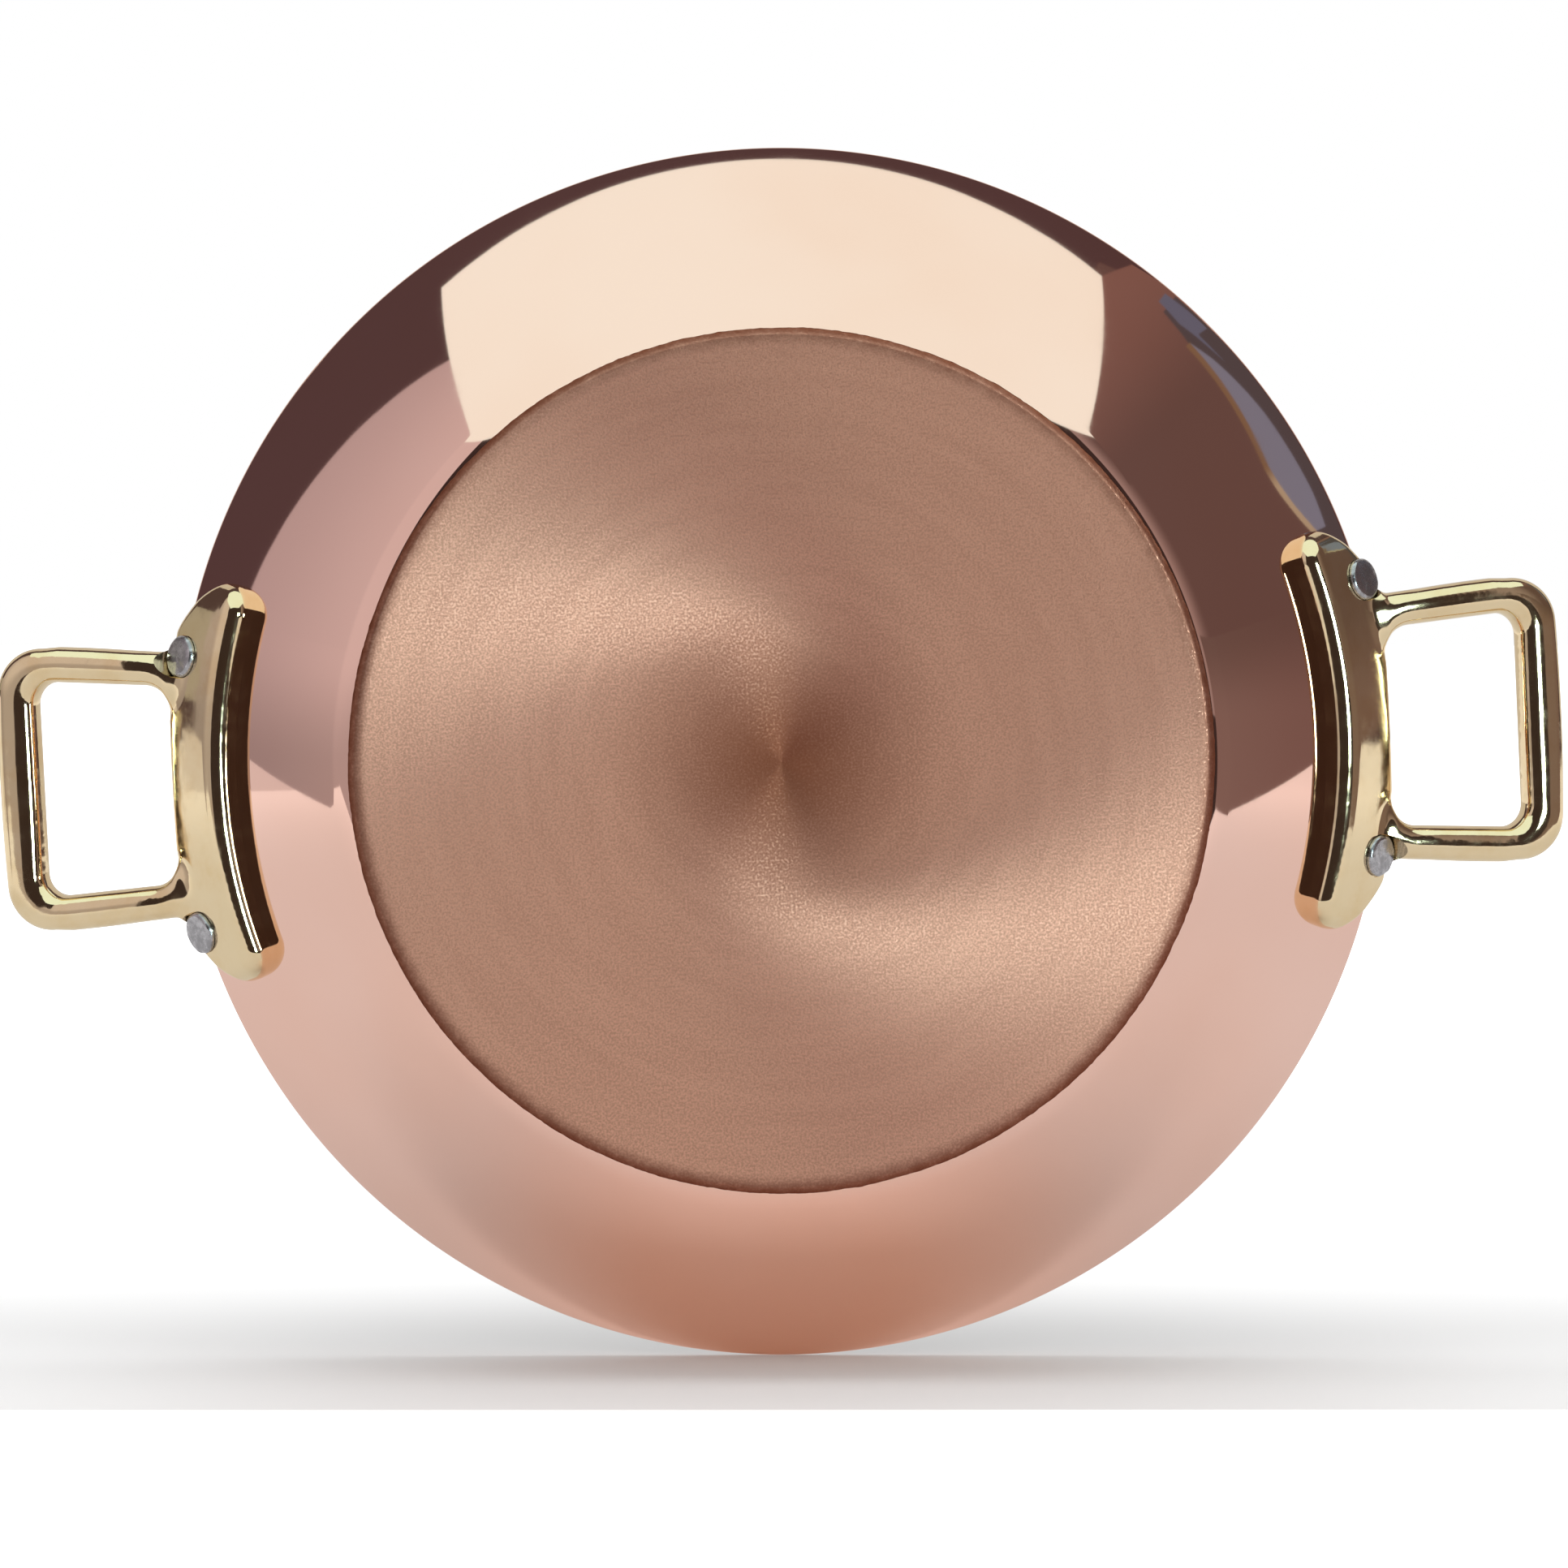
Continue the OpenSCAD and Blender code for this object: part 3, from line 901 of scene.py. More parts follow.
@dataclass
class Handle:
    """A cast brass handle: a flange that follows the flared wall, and a loop that rises from its edge."""

    profile: PanProfile
    rivets: RivetPlan
    side: Side
    flange_w: float = 80 * MM
    flange_h: float = 17.5 * MM
    flange_t: float = 5.5 * MM
    flange_drop: float = 2.5 * MM
    lower_round: float = 3.6 * MM
    upper_round: float = 1.8 * MM
    tip_r: float = 6 * MM
    tip_place: float = 0.35
    tip_fall: float = 0.4
    tip_blunt: float = 0.4
    fall_from: float = 0.66
    opening_dip: float = 2.5 * MM
    seat_gap: float = 0.05 * MM
    bedding: float = 0.8 * MM
    foot_draft: float = 0.05 * MM
    opening_w: float = 41 * MM
    opening_l: float = 27.4 * MM
    loop_spread: float = 4 * MM
    side_bar_w: float = 6.6 * MM
    grip_bar_w: float = 8.6 * MM
    bar_t: float = 7.6 * MM
    opening_r: float = 4.5 * MM
    loop_outer_r: float = 9 * MM
    root_outer_r: float = 1.8 * MM
    root_sink: float = 0.2
    root_thinning: float = 0.3
    root_share: float = 0.5
    loop_rise: float = math.radians(15)
    bar_power: float = 2.4
    bar_bow: float = 0.5 * MM
    stations: int = 161
    tip_share: float = 0.9999
    back_steps: int = 14
    foot_steps: int = 5
    round_steps: int = 17
    face_steps: int = 10
    bar_steps: int = 72
    side_steps: int = 60
    corner_steps: int = 28
    grip_steps: int = 25
    voxel: float = 0.36 * MM
    blend_r: float = 2.6 * MM
    blend_passes: int = 40
    blend_pull: float = 0.7

    def __post_init__(self) -> None:
        """Works out the places that the sizes lead to."""
        p = self.profile
        self.low_slope = p.climb(self.flange_drop + self.flange_h)
        self.dip_slope = p.climb(self.flange_drop + self.opening_dip)
        self.mid_r = p.wall(self.low_slope + self.flange_h / 2 / p.curve_r)[0]
        self.root_edge = p.wall(self.dip_slope, self.flange_t)
        self.rise = np.array([-math.sin(self.loop_rise), math.cos(self.loop_rise)])
        self.loop_root = self.root_edge + self.root_sink * self.bar_t * self.rise
        self.root_half = self.opening_w / 2 - self.loop_spread / 4
        self.end_half = self.opening_w / 2 + self.loop_spread / 4
        self.spread = math.atan2(self.end_half - self.root_half, self.opening_l)
        lean = self.dip_slope - self.loop_rise
        self.root_lean = 1 / math.tan(lean)
        lift = math.hypot(*(self.loop_root - p.curve_centre)) - p.curve_r
        self.root_x = (self.root_sink * self.flange_t - lift) / math.sin(lean)
        self.loop_end = self.opening_l + self.grip_bar_w

    def flange_point(self, along: float, up: np.ndarray, out: np.ndarray) -> np.ndarray:
        """Points of the flange.

        Args:
            along: The distance round the wall from the flange's middle.
            up: Distances up from the flange's lower edge.
            out: Distances out from the wall.

        Returns:
            Rows of x, y and z.
        """
        p = self.profile.wall(self.low_slope + up / self.profile.curve_r, out)
        turn = along / self.mid_r
        return np.stack([p[:, 0] * math.cos(turn), p[:, 0] * math.sin(turn), p[:, 1]], -1)

    def flange_top(self, along: float) -> float:
        """The height of the flange's top edge.

        Args:
            along: The distance from the flange's middle.

        Returns:
            The height above the flange's lower edge.
        """
        fall = smooth_step((2 * abs(along) / self.flange_w - self.fall_from) / (1 - self.fall_from))
        dip = self.opening_dip - along * along / (2 * self.root_edge[0] * math.cos(self.dip_slope))
        return self.flange_h * (1 - self.tip_fall * fall) - max(dip, 0)

    def flange_section(self, along: float) -> np.ndarray:
        """One closed section of the flange: bedded on the wall, with a foot that leans back and round edges.

        Args:
            along: The distance from the flange's middle.

        Returns:
            Rows of x, y and z.
        """
        into = max(abs(along) - (self.flange_w / 2 - self.tip_r), 0) / self.tip_r
        full = math.sqrt(max(1 - into * into, 0))
        tip = self.tip_place * self.flange_h
        low = tip * (1 - full)
        high = tip + (self.flange_top(along) - tip) * full
        taper = self.tip_blunt * math.sqrt(full) + (1 - self.tip_blunt) * full
        thick = (self.flange_t - self.seat_gap) * taper
        low_r = min(self.lower_round * full, (high - low) / 2)
        high_r = min(self.upper_round * full, (high - low) / 2)
        out = self.seat_gap + thick
        draft = min(self.foot_draft * full, (high - low) / 4)
        back = np.linspace(high, low + draft, self.back_steps)
        foot = np.linspace(0, 1, self.foot_steps)[1:-1]
        turn = np.linspace(0, math.pi / 2, self.round_steps)
        face = np.linspace(low + low_r, high - high_r, self.face_steps)[1:-1]
        rounding = low + low_r * (1 - np.cos(turn))
        up = [back, low + draft * (1 - foot), rounding, face, high - high_r * (1 - np.sin(turn))]
        lift = [
            np.full(len(back), -self.bedding),
            (out - low_r + self.bedding) * foot - self.bedding,
            out - low_r * (1 - np.sin(turn)),
            np.full(len(face), out),
            out - high_r * (1 - np.cos(turn)),
        ]
        return self.flange_point(along, np.concatenate(up), np.concatenate(lift))

    def flange(self) -> list[np.ndarray]:
        """The flange's sections, closer together towards its tips."""
        along = np.sin(np.linspace(-math.pi / 2, math.pi / 2, self.stations)) * self.flange_w / 2
        return [self.flange_section(float(a)) for a in along * self.tip_share]

    def loop_point(self, x: np.ndarray, y: np.ndarray, lift: np.ndarray) -> np.ndarray:
        """Points of the loop, by their distances out, across and off its plane."""
        c, s = math.cos(self.loop_rise), math.sin(self.loop_rise)
        return np.stack([self.loop_root[0] + x * c - lift * s, y, self.loop_root[1] + x * s + lift * c], -1)

    @cached_property
    def bar(self) -> tuple[np.ndarray, np.ndarray]:
        """The bars' round-cornered section: across and up, each from -1 to 1."""
        turn = np.linspace(0, math.tau, self.bar_steps, endpoint=False)
        c, s = np.cos(turn), np.sin(turn)
        power = 2 / self.bar_power
        return np.sign(c) * np.abs(c) ** power, np.sign(s) * np.abs(s) ** power

    @staticmethod
    def run_out(x: np.ndarray, radius: float) -> np.ndarray:
        """A quarter round that runs out where x reaches the radius."""
        d = np.clip(radius - x, 0, radius)
        return radius - np.sqrt(radius * radius - d * d)

    def side_section(self, x: float, way: int) -> np.ndarray:
        """A section of a side bar, which leans with the wall and thins underneath near its root.

        Args:
            x: The distance out from the root.
            way: 1 or -1, for the side.

        Returns:
            Rows of x, y and z.
        """
        across, up = self.bar
        rooted = 1 - smooth_step((x - self.root_x) / (self.root_share * self.opening_l))
        lift = self.bar_t / 2 * up * np.where(up < 0, 1 - self.root_thinning * rooted, 1)
        at_x = x + lift * self.root_lean * rooted
        line = self.root_half + at_x * math.tan(self.spread)
        inner = line - self.run_out(at_x, self.opening_r)
        bow = self.bar_bow * np.sin(np.clip(at_x / self.loop_end, 0, 1) * math.pi)
        outer = line + self.side_bar_w + self.run_out(at_x, self.root_outer_r) + bow
        y = (outer + inner) / 2 + (outer - inner) / 2 * across
        foot = self.profile.wall(self.profile.climb(self.rivets.drop))[0]
        back = foot - np.sqrt(foot**2 - y * y)
        return self.loop_point(at_x - back * rooted, way * y, lift)

    def turn_section(self, inner: np.ndarray, outer: np.ndarray) -> np.ndarray:
        """A section of a bar.

        Args:
            inner: The bar's inner edge, in the loop's plane.
            outer: Its outer edge.

        Returns:
            Rows of x, y and z.
        """
        across, up = self.bar
        p = (outer + inner) / 2 + np.outer(across, (outer - inner) / 2)
        return self.loop_point(p[:, 0], p[:, 1], self.bar_t / 2 * up)

    def corner_point(self, corner: np.ndarray, radius: float, share: float, way: int) -> np.ndarray:
        """A point on a rounded corner, from its side to its outer end.

        Args:
            corner: The sharp corner.
            radius: Its rounding.
            share: How far round the corner, from 0 to 1.
            way: 1 or -1, for the side.

        Returns:
            x and y in the loop's plane.
        """
        start = math.pi / 2 + self.spread
        both = np.array([math.cos(start) + 1, math.sin(start)])
        a = start * (1 - share)
        p = corner - radius * both / (1 + math.cos(start)) + radius * np.array([math.cos(a), math.sin(a)])
        return np.array([p[0], way * p[1]])

    def loop(self) -> list[np.ndarray]:
        """Lays out the loop.

        Returns:
            Its sections, from one root round the grip to the other.
        """
        inner_corner = np.array([self.opening_l, self.end_half])
        outer_y = self.root_half + self.loop_end * math.tan(self.spread) + self.side_bar_w
        outer_corner = np.array([self.loop_end - self.bar_bow, outer_y])
        side_end = self.opening_l - self.opening_r
        ease = 1 - np.cos(np.linspace(0, math.pi / 2, self.side_steps, endpoint=False))
        halves = []
        for way in (-1, 1):
            side = [self.side_section(float(self.root_x + (side_end - self.root_x) * e), way) for e in ease]
            corner = [
                self.turn_section(
                    self.corner_point(inner_corner, self.opening_r, s, way),
                    self.corner_point(outer_corner, self.loop_outer_r, s, way),
                )
                for s in np.linspace(0, 1, self.corner_steps, endpoint=False)
            ]
            halves.append(side + corner)
        inner_y, outer_y = inner_corner[1] - self.opening_r, outer_corner[1] - self.loop_outer_r
        grip = [
            self.turn_section(
                np.array([self.opening_l, inner_y * t]),
                np.array([self.loop_end - self.bar_bow * t * t, outer_y * t]),
            )
            for t in np.linspace(-1, 1, self.grip_steps)
        ]
        return halves[0] + grip + halves[1][::-1]

    @staticmethod
    def skin(sections: list[np.ndarray]) -> tuple[np.ndarray, list]:
        """A skin over a row of closed sections, with flat ends.

        Args:
            sections: The sections, all with as many points.

        Returns:
            Its vertices and its faces.
        """
        count, size = len(sections), len(sections[0])
        faces = [
            (j * size + i, j * size + (i + 1) % size, (j + 1) * size + (i + 1) % size, (j + 1) * size + i)
            for j in range(count - 1)
            for i in range(size)
        ]
        ends = [tuple(range(size))[::-1], tuple((count - 1) * size + i for i in range(size))]
        return np.vstack(sections), faces + ends

    def build(self) -> None:
        """Casts flange and loop in one, fillets them together and cuts the rivets' seats."""
        parts = [self.skin(self.flange()), self.skin(self.loop())]
        shift = len(parts[0][0])
        points = np.vstack([p for p, _ in parts])
        faces = parts[0][1] + [tuple(i + shift for i in f) for f in parts[1][1]]
        name = f"{self.side.name.lower()}_brass_handle"
        made = new_object(name, points, faces)
        remesh = made.modifiers.new("Cast", "REMESH")
        remesh.mode = "VOXEL"
        remesh.voxel_size = self.voxel
        settle(made)
        self.blend(made, [BVHTree.FromPolygons(p.tolist(), f) for p, f in parts])
        made.data.transform(Matrix.Rotation(self.side.value, 4, "Z"))
        for foot, axis in self.rivets.places(self.profile, self.side):
            self.cut_seat(made, foot, axis)
        pit_x = self.loop_root[0] + self.opening_l * math.cos(self.loop_rise)
        made.data.materials.clear()
        made.data.materials.append(CastBrass(pit_x).material())
        made.data.shade_smooth()
        made.data.set_sharp_from_angle(angle=math.radians(40))
        dress(made, "cast_brass", f"{self.side.name.lower()}_handle")

    def blend(self, made: Object, skins: list[BVHTree]) -> None:
        """Puts the cast's surface back on the skins, but for a fillet where they meet.

        Args:
            made: The cast.
            skins: The flange's and the loop's skin.
        """
        mesh = made.data
        co = np.empty(len(mesh.vertices) * 3)
        mesh.vertices.foreach_get("co", co)
        co = co.reshape(-1, 3)
        near = [[skin.find_nearest(p) for p in co] for skin in skins]
        gaps = np.array([[hit[3] for hit in row] for row in near])
        feet = np.array([[tuple(hit[0]) for hit in row] for row in near])
        nearest = gaps.argmin(0)
        snapped = np.take_along_axis(feet, nearest[None, :, None], 0)[0]
        soft = 1 - smooth_step(gaps.max(0) / self.blend_r)
        edges = np.empty(len(mesh.edges) * 2, np.int64)
        mesh.edges.foreach_get("vertices", edges)
        a, b = edges.reshape(-1, 2).T
        degree = np.bincount(edges, minlength=len(co))[:, None]
        place = snapped.copy()
        for _ in range(self.blend_passes):
            total = np.stack([
                np.bincount(a, place[b, k], len(co)) + np.bincount(b, place[a, k], len(co)) for k in range(3)
            ], -1)
            place += soft[:, None] * (total / degree - place) * self.blend_pull
        mesh.vertices.foreach_set("co", place.ravel())
        mesh.update()

    def cut_seat(self, made: Object, foot: Vector, axis: Vector) -> None:
        """Cuts the round seat of a rivet's head.

        Args:
            made: The handle.
            foot: The rivet's foot on the copper.
            axis: The rivet's outward axis.
        """
        work = bmesh.new()
        reach = 2 * self.flange_t
        radius = self.rivets.outer_d / 2 + self.rivets.seat_margin
        bmesh.ops.create_cone(
            work, cap_ends=True, segments=self.rivets.segments, radius1=radius, radius2=radius, depth=reach
        )
        turn = axis.to_track_quat("Z", "Y").to_matrix().to_4x4()
        middle = foot + axis * (self.rivets.seat + reach / 2)
        bmesh.ops.transform(work, matrix=Matrix.Translation(middle) @ turn, verts=work.verts)
        cutter = worked_object("seat", work)
        cut = made.modifiers.new("Seat", "BOOLEAN")
        cut.operation = "DIFFERENCE"
        cut.solver = "EXACT"
        cut.object = cutter
        settle(made)
        bpy.data.objects.remove(cutter)


@dataclass(frozen=True)
class Card:
    """A flat studio card that only polished metal sees.

    Its tone may change to a far tone along an axis, over a span. Its glow may change too, from foot_from
    down to the level of the pan's middle, where it is foot_shade times as strong.
    """

    name: str
    corners: list
    tone: tuple
    far_tone: tuple | None = None
    axis: int = 1
    span: tuple = (0.0, 1.0)
    foot_shade: float = 1.0
    foot_from: float = -0.3

    def build(self) -> None:
        """Makes the card."""
        made = new_object(self.name, np.array(self.corners), [tuple(range(len(self.corners)))])
        look, s, place = new_look(self.name)
        tone = colour(*self.tone)
        strength = 1.0
        if self.far_tone:
            tone = s.mix(s.ease(s.part(place, self.axis), *self.span), tone, colour(*self.far_tone))
        if self.foot_shade != 1:
            strength = s.ease(s.part(place, 1), self.foot_from, 0, 1, self.foot_shade)
        s.surface(s.glow(tone, strength))
        made.data.materials.append(look)
        for_metal_only(made)


def for_metal_only(obj: Object) -> None:
    """Lets only glossy rays see a stage object.

    Args:
        obj: The object.
    """
    for way in ("camera", "diffuse", "shadow", "transmission"):
        setattr(obj, "visible_" + way, False)


def across_x(x: float, corners: list) -> list:
    """Corners from pairs of y and z, all at one x."""
    return [(x, y, z) for y, z in corners]


def across_y(y: float, corners: list) -> list:
    """Corners from pairs of x and z, all at one y."""
    return [(x, y, z) for x, z in corners]


@dataclass
class Studio:
    """The pale floor, the soft lamp, the cards round the pan, the world and the camera.

    A span says from where to where a tone changes, in metres. The lens's sizes are in degrees.
    """

    rim_r: float
    rim_z: float
    floor_gap: float = 0.15 * MM
    floor_half: float = 7.0
    floor_near: float = -0.6
    floor_tone: float = 0.71
    # painted light: the floor's camera-only glow near the pan, behind it and to its sides
    floor_fill: float = 0.06
    back_fill: float = 0.22
    side_fill: float = 0.06
    mirrored_tone: float = 0.64
    mirror_lift: float = 0.4
    # painted light: a copper-coloured glow on the floor beside the pan
    painted_copper_glow_tone: tuple = colour(0.12, 0.05, 0.01)
    painted_copper_glow_span: tuple = (0.02, 0.1)
    room_r: float = 7.0
    room_tone: tuple = colour(0.09, 0.06, 0.065)
    front_tone: tuple = colour(0.045, 0.032, 0.03)
    world_light: float = 0.8
    lamp_power: float = 4.5
    lamp_size: tuple = (0.9, 0.6)
    lamp_up: float = 0.85
    lamp_z: float = -0.04
    cut_z: float = -0.027
    cut_soft: float = 2 * MM
    back_span: tuple = (0.065, 0.16)
    side_span: tuple = (0.08, 0.17)
    white_span: tuple = (0.2, 0.9)
    lift_span: tuple = (0.25, 1.2)
    room_span: tuple = (-3.5, -0.8)
    lens_ends: tuple = (-41, -18)
    lens_dip: tuple = (-26.0, 9.8)
    lens_slope: tuple = (15.0, 2.0)
    lens_rise: tuple = (8.0, 3.0)
    distance: float = 1.0
    tilt: float = math.radians(2.4)
    roll: float = math.radians(2.75)
    rim_pixels: float = 743.5
    rim_x: float = 962.5
    rim_y: float = 929.0

    @property
    def level(self) -> Matrix:
        """The turn about Z that brings the floor level with the picture."""
        return Matrix.Rotation(self.roll, 4, "Z")

    def room_cards(self) -> list[Card]:
        """Lays out the softbox, the cards beside and behind the pan and the bright strip in front.

        Returns:
            The cards, each placed where the copper wall mirrors it in the photograph.
        """
        rose, deep_rose = (0.67, 0.61, 0.62), (0.48, 0.43, 0.45)
        warm_dusk, dusk = (0.15, 0.112, 0.103), (0.135, 0.095, 0.09)
        above, far_left, left, right, far_right = -0.8, -1.2, -0.6, 0.6, 1.2
        softbox = [(-0.547, 0.216), (0.62, 0.222), (0.9, -0.2), (0.75, -1.3), (-0.7, -1.3), (-0.76, -0.2)]
        left_wall = [
            (-0.068, 0.262), (0.112, -0.1), (0.33, -0.6), (0.45, -1.5),
            (-1.6, -1.5), (-1.6, 0.08), (-1.5, 0.09),
        ]
        left_low = [(-0.035, 0.13), (0.055, -0.046), (-0.02, -0.2), (-0.16, -0.5), (-0.16, 0.13)]
        skirt = [(-0.068, 0.262), (0.14, -0.157), (0.14, 0.3), (-0.068, 0.3)]
        right_low = [(-0.03, 0.25), (0.125, -0.06), (0.125, -0.5), (-0.12, -0.5), (-0.12, 0.25)]
        right_wall = [(0, 0.5), (0, -1.3), (-1.6, -1.3), (-1.6, 0.5)]
        softbox_side = [(0.62, 0.222), (0.75, 0.5), (1.2, 0.6), (1.2, -0.653)]
        strip = [(0.65, -0.2, -1.7), (1.1, -0.2, -1.7), (1.1, 0.12, -1.7), (0.65, 0.12, -1.7)]
        backdrop = [(-2.2, -1.9, 1.3), (2.2, -1.9, 1.3), (2.2, 0.1, 1.3), (-2.2, 0.1, 1.3)]
        end = self.towards([(-174, 9), (-165, 9), (-165, 24), (-174, 24)], 0.9)
        return [
            Card("softbox", across_y(above, softbox), (0.97, 1.17, 1.12)),
            Card("left_card", across_x(far_left, left_wall), rose, deep_rose, 2, (-0.4, 0.25), 0.68),
            Card("left_low", across_x(left, left_low), rose, deep_rose, 2, (-0.17, 0.125), 0.68, -0.15),
            Card("left_skirt", across_x(far_left + 0.01, skirt), (0.72, 0.69, 0.69)),
            Card("right_low", across_x(right, right_low), warm_dusk, dusk, 2, (-0.12, 0.1), 1.45, -0.12),
            Card("right_card", across_x(far_right, right_wall), (0.34, 0.28, 0.27), dusk, 2, (-1.4, -0.3)),
            Card("softbox_side", across_y(above, softbox_side), (0.22, 0.14, 0.125), dusk, 0, (0.62, 1.1)),
            Card("front_strip", strip, (20.0, 28.0, 29.0)),
            Card("backdrop", backdrop, (0.65, 0.62, 0.58)),
            Card("left_end", end, (0.42, 0.40, 0.36)),
        ]

    def lens_cards(self) -> list[Card]:
        """Lays out the blue lens with its gold edge, which the wall mirrors at the upper right.

        Returns:
            The cards, with the dark surround first.
        """
        under, over = self.lens_edge(0), self.lens_edge(1)
        surround = self.lens_edge(0.8) + [(-10, 15), (-10, 22), (-45, 22), (-45, 13.6)]
        crown = [(-18, 15.7), (-26, 16.4), (-38, 14)]
        far_lens = [(-46, 14.5), (-43, 14), (-28, 17), (-36, 18), (-46, 16.5)]
        gold_reach, blue_reach, surround_reach = 0.95, 0.98, 1.0
        gold = self.towards(under + over[::-1], gold_reach)
        return [
            Card("lens_frame", self.towards(surround, surround_reach), (0.085, 0.085, 0.10)),
            Card("gold_edge", gold, (0.21, 0.16, 0.10), (0.42, 0.42, 0.31), 1, (-0.47, -0.42)),
            Card("blue_panel", self.towards(over + crown, blue_reach), (0.20, 0.26, 0.38)),
            Card("blue_side", self.towards(far_lens, blue_reach), (0.13, 0.17, 0.27)),
        ]

    def lens_edge(self, lift: float) -> list:
        """Lists directions along the blue lens's lower edge: a long slope, a dip and a short rise.

        Args:
            lift: How far above the edge, in degrees.

        Returns:
            Pairs of the azimuth and the elevation, in degrees, every degree along the edge.
        """
        made = []
        for azimuth in range(self.lens_ends[0], self.lens_ends[1] + 1):
            away = azimuth - self.lens_dip[0]
            run, rise = self.lens_rise if away > 0 else self.lens_slope
            share = (away / run) ** 2 if away > 0 else math.sin(-away / run * math.pi / 2)
            made.append((azimuth, self.lens_dip[1] + rise * share + lift))
        return made

    def towards(self, corners: list, reach: float) -> list:
        """Places a card's corners by their directions from the rim.

        Args:
            corners: Pairs of the azimuth from +X and the elevation towards +Z, in degrees.
            reach: The card's distance from the rim.

        Returns:
            The corners.
        """
        made = []
        for azimuth, elevation in corners:
            a, e = math.radians(azimuth), math.radians(elevation)
            out = self.rim_r + reach * math.cos(e)
            made.append((out * math.cos(a), out * math.sin(a), self.rim_z + reach * math.sin(e)))
        return made

    def floor(self) -> None:
        """Lays the floor under the rim. It is clear from below, so that no view is blocked."""
        y = self.rim_r + self.floor_gap
        h = self.floor_half
        near = self.floor_near
        corners = across_y(y, [(-h, near), (h, near), (h, h), (-h, h)])
        made = new_object("studio_floor", np.array(corners), [(0, 1, 2, 3)])
        made.data.transform(self.level)
        look, s, place = new_look("Pale floor")
        path = s.add("ShaderNodeLightPath").outputs
        seen = path["Is Camera Ray"]
        mirrored = s.maths("MAXIMUM", path["Is Glossy Ray"], path["Is Transmission Ray"])
        tone = s.ease(seen, 0, 1, self.mirrored_tone, self.floor_tone)
        matt = s.add("ShaderNodeBsdfDiffuse", {"Color": tone}).outputs[0]
        far = s.vector("LENGTH", s.vector("MULTIPLY", place, (1, 0, 1)))
        deep = s.part(place, 2)
        # Painted light, seen only by the camera: the floor glows plain white ahead of cut_z, which cuts its
        # shadow off there, and glows more towards the back and the sides, so the shadow fades out.
        ahead = s.ease(deep, self.cut_z - self.cut_soft, self.cut_z + self.cut_soft, 1, 0)
        painted_fill_light = s.ease(deep, *self.back_span, self.floor_fill, self.back_fill)
        painted_fill_light = s.maths("ADD", painted_fill_light, s.ease(far, *self.side_span, 0, self.side_fill))
        shown = s.maths("MAXIMUM", s.maths("MAXIMUM", s.ease(far, *self.white_span), ahead), painted_fill_light)
        mirror_lift = s.maths("MULTIPLY", mirrored, s.ease(far, *self.lift_span, 0, self.mirror_lift))
        plain = s.glow(colour(1, 1, 1), s.maths("ADD", s.maths("MULTIPLY", seen, shown), mirror_lift))
        # Painted light: an orange glow on the floor near the copper, seen only in metal, for the light that
        # the copper throws onto the floor.
        near_copper = s.vector("DISTANCE", place, self.level @ Vector((0, y, 0.5 * self.rim_z)))
        painted_copper_glow_strength = s.maths("MULTIPLY", mirrored, s.ease(near_copper, *self.painted_copper_glow_span, 1, 0))
        warm = s.glow(self.painted_copper_glow_tone, painted_copper_glow_strength)
        glow = s.add("ShaderNodeAddShader", {0: plain, 1: warm}).outputs[0]
        lit = s.add("ShaderNodeAddShader", {0: matt, 1: glow}).outputs[0]
        behind = s.add("ShaderNodeNewGeometry").outputs["Backfacing"]
        clear = s.add("ShaderNodeBsdfTransparent").outputs[0]
        s.surface(s.add("ShaderNodeMixShader", {0: behind, 1: lit, 2: clear}).outputs[0])
        made.data.materials.append(look)
        if made.data.polygons[0].normal.y > 0:
            made.data.flip_normals()

    def room(self) -> None:
        """Puts the dim room round the cards."""
        work = bmesh.new()
        bmesh.ops.create_icosphere(work, subdivisions=4, radius=self.room_r)
        made = worked_object("dim_room", work)
        look, s, place = new_look("Dim room")
        ahead = s.ease(s.part(place, 2), *self.room_span)
        s.surface(s.glow(s.mix(ahead, self.front_tone, self.room_tone)))
        made.data.materials.append(look)
        for_metal_only(made)

    def world(self) -> None:
        """Sets a plain world: white to the camera and to metal and glass, and a soft light for the rest."""
        world = bpy.data.worlds.new("Studio")
        bpy.context.scene.world = world
        world.use_nodes = True
        world.cycles.sampling_method = "NONE"
        s = Nodes(world.node_tree)
        path = s.add("ShaderNodeLightPath").outputs
        shown = s.maths("MAXIMUM", path["Is Camera Ray"], path["Is Glossy Ray"])
        shown = s.maths("MAXIMUM", shown, path["Is Transmission Ray"])
        strength = s.ease(shown, 0, 1, self.world_light, 1)
        back = s.add("ShaderNodeBackground", {"Color": colour(1, 1, 1), "Strength": strength})
        s.add("ShaderNodeOutputWorld", {"Surface": back.outputs[0]})

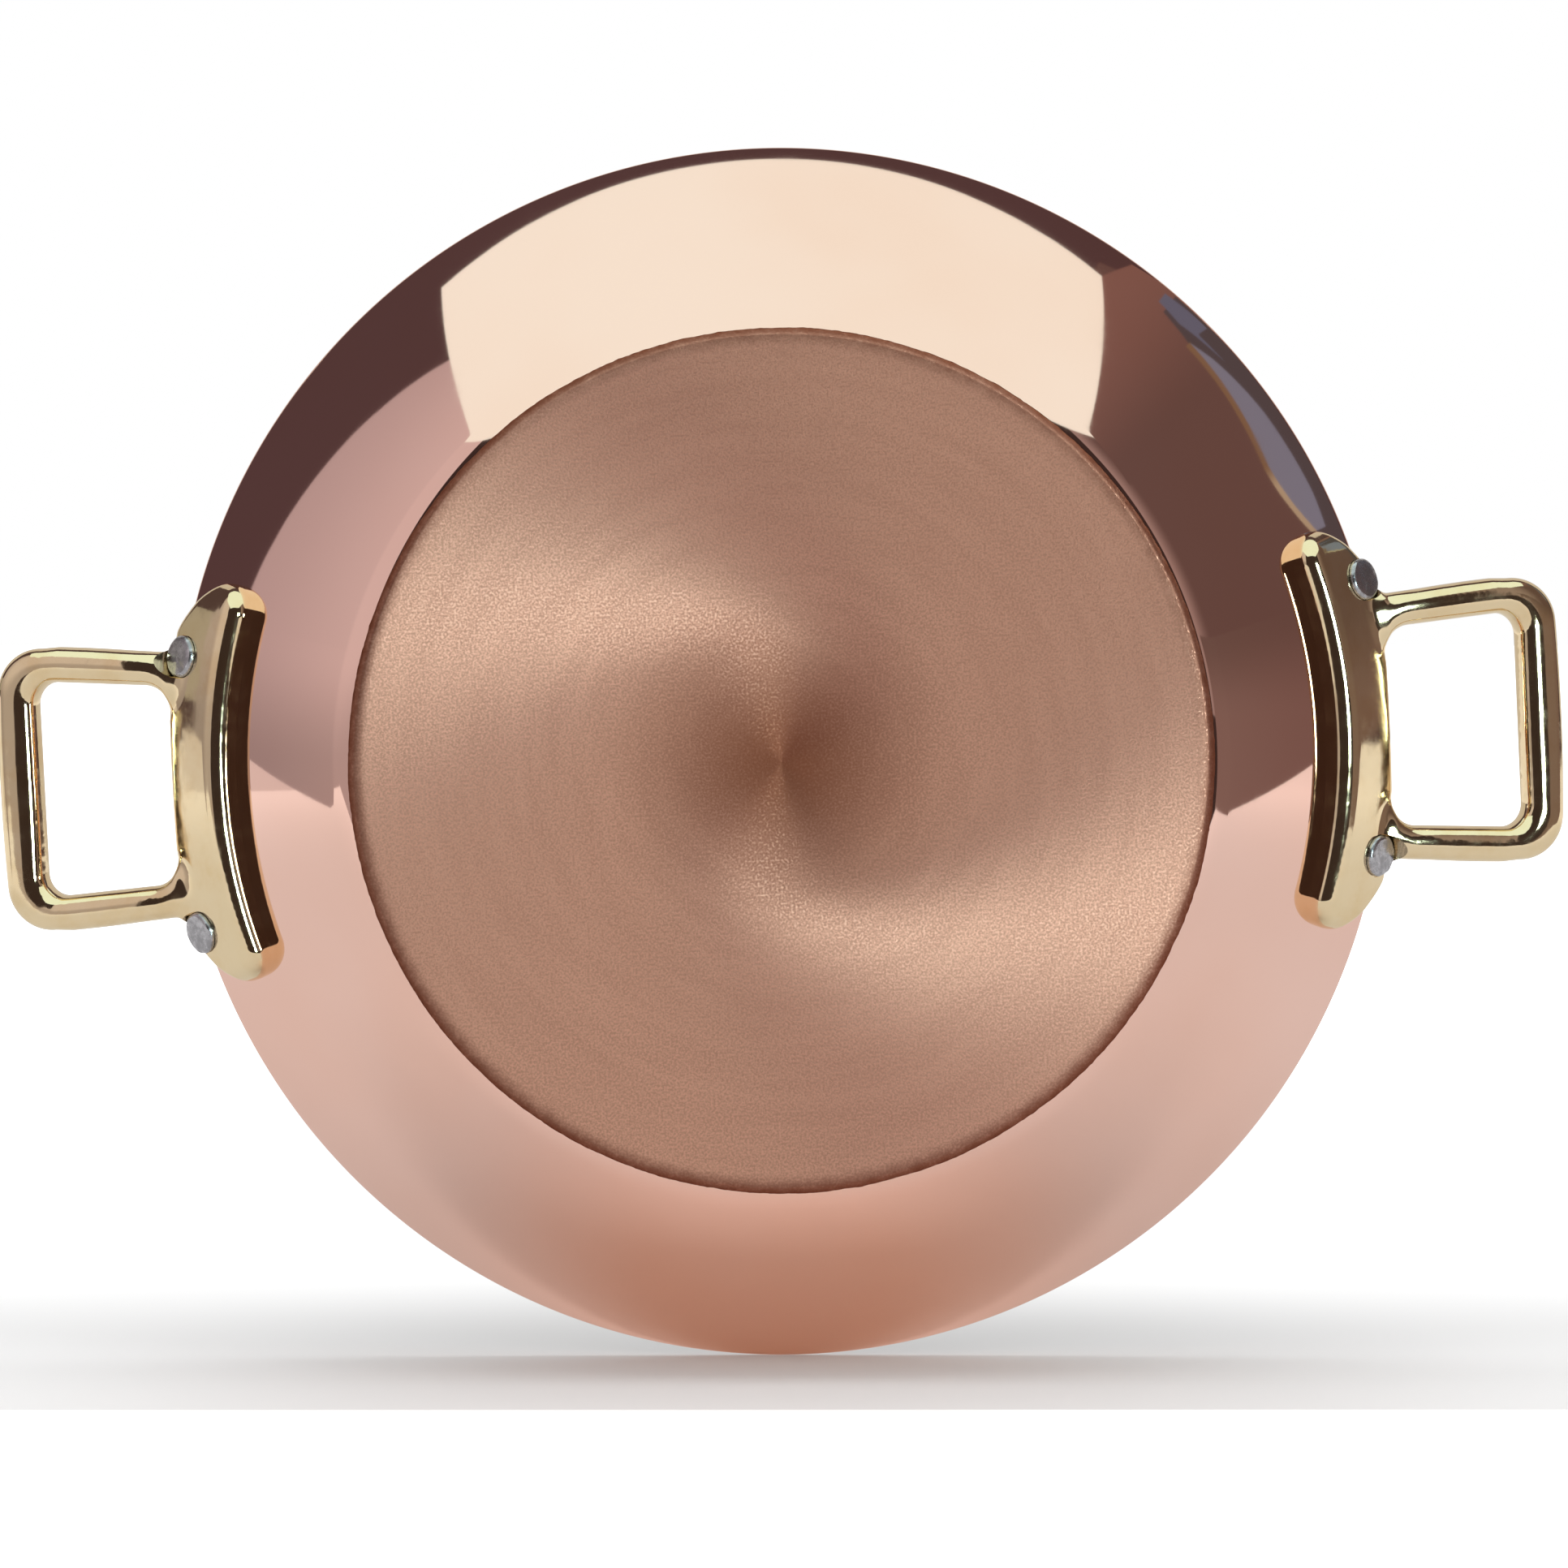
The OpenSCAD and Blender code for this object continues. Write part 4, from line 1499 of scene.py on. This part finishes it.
    def lamp(self) -> None:
        """Hangs the soft lamp over the floor."""
        light = bpy.data.lights.new("soft_lamp", "AREA")
        light.shape = "RECTANGLE"
        light.size, light.size_y = self.lamp_size
        light.energy = self.lamp_power
        lamp = add_object("soft_lamp", light)
        hung = Matrix.Translation((0, -self.lamp_up, self.lamp_z)) @ Matrix.Rotation(math.pi / 2, 4, "X")
        lamp.matrix_world = self.level @ hung
        lamp.visible_glossy = False

    def camera(self) -> None:
        """Sets the camera at the photograph's viewing angle."""
        ct, st = math.cos(self.tilt), math.sin(self.tilt)
        cr, sr = math.cos(self.roll), math.sin(self.roll)
        right = Vector((cr, sr * ct, -sr * st))
        up = -Vector((-sr, cr * ct, -cr * st))
        ahead = Vector((0, st, ct))
        turn = Matrix((right, up, -ahead)).transposed().to_4x4()
        place = Vector((0, 0, self.rim_z)) - ahead * self.distance
        data = bpy.data.cameras.new("camera")
        data.sensor_width = SENSOR_WIDTH
        data.lens = SENSOR_WIDTH * self.rim_pixels * self.distance / self.rim_r / IMAGE_SIDE
        data.shift_x = 0.5 - self.rim_x / IMAGE_SIDE
        data.shift_y = self.rim_y / IMAGE_SIDE - 0.5
        data.clip_start = 0.05
        data.clip_end = 30
        camera = add_object("camera", data)
        camera.matrix_world = Matrix.Translation(place) @ turn
        bpy.context.scene.camera = camera

    def build(self) -> None:
        """Sets up the whole studio."""
        self.camera()
        self.world()
        self.floor()
        self.room()
        self.lamp()
        for card in self.room_cards() + self.lens_cards():
            card.build()
        bpy.context.scene.view_settings.view_transform = "Standard"


def main() -> None:
    """Sets up the studio, then builds the pan's pieces in order."""
    logging.basicConfig(level=logging.INFO, format="%(message)s")
    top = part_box("copper_shell")[1]
    profile = PanProfile(rim_r=top.x, height=top.z)
    plan = RivetPlan()
    Studio(rim_r=profile.rim_r, rim_z=profile.height).build()
    body = PanBody(profile)
    body.copper()
    body.lining()
    body.sprayed_layer()
    for side in Side:
        Handle(profile, plan, side).build()
    Rivets(profile, plan).build()


if __name__ == "__main__":
    main()
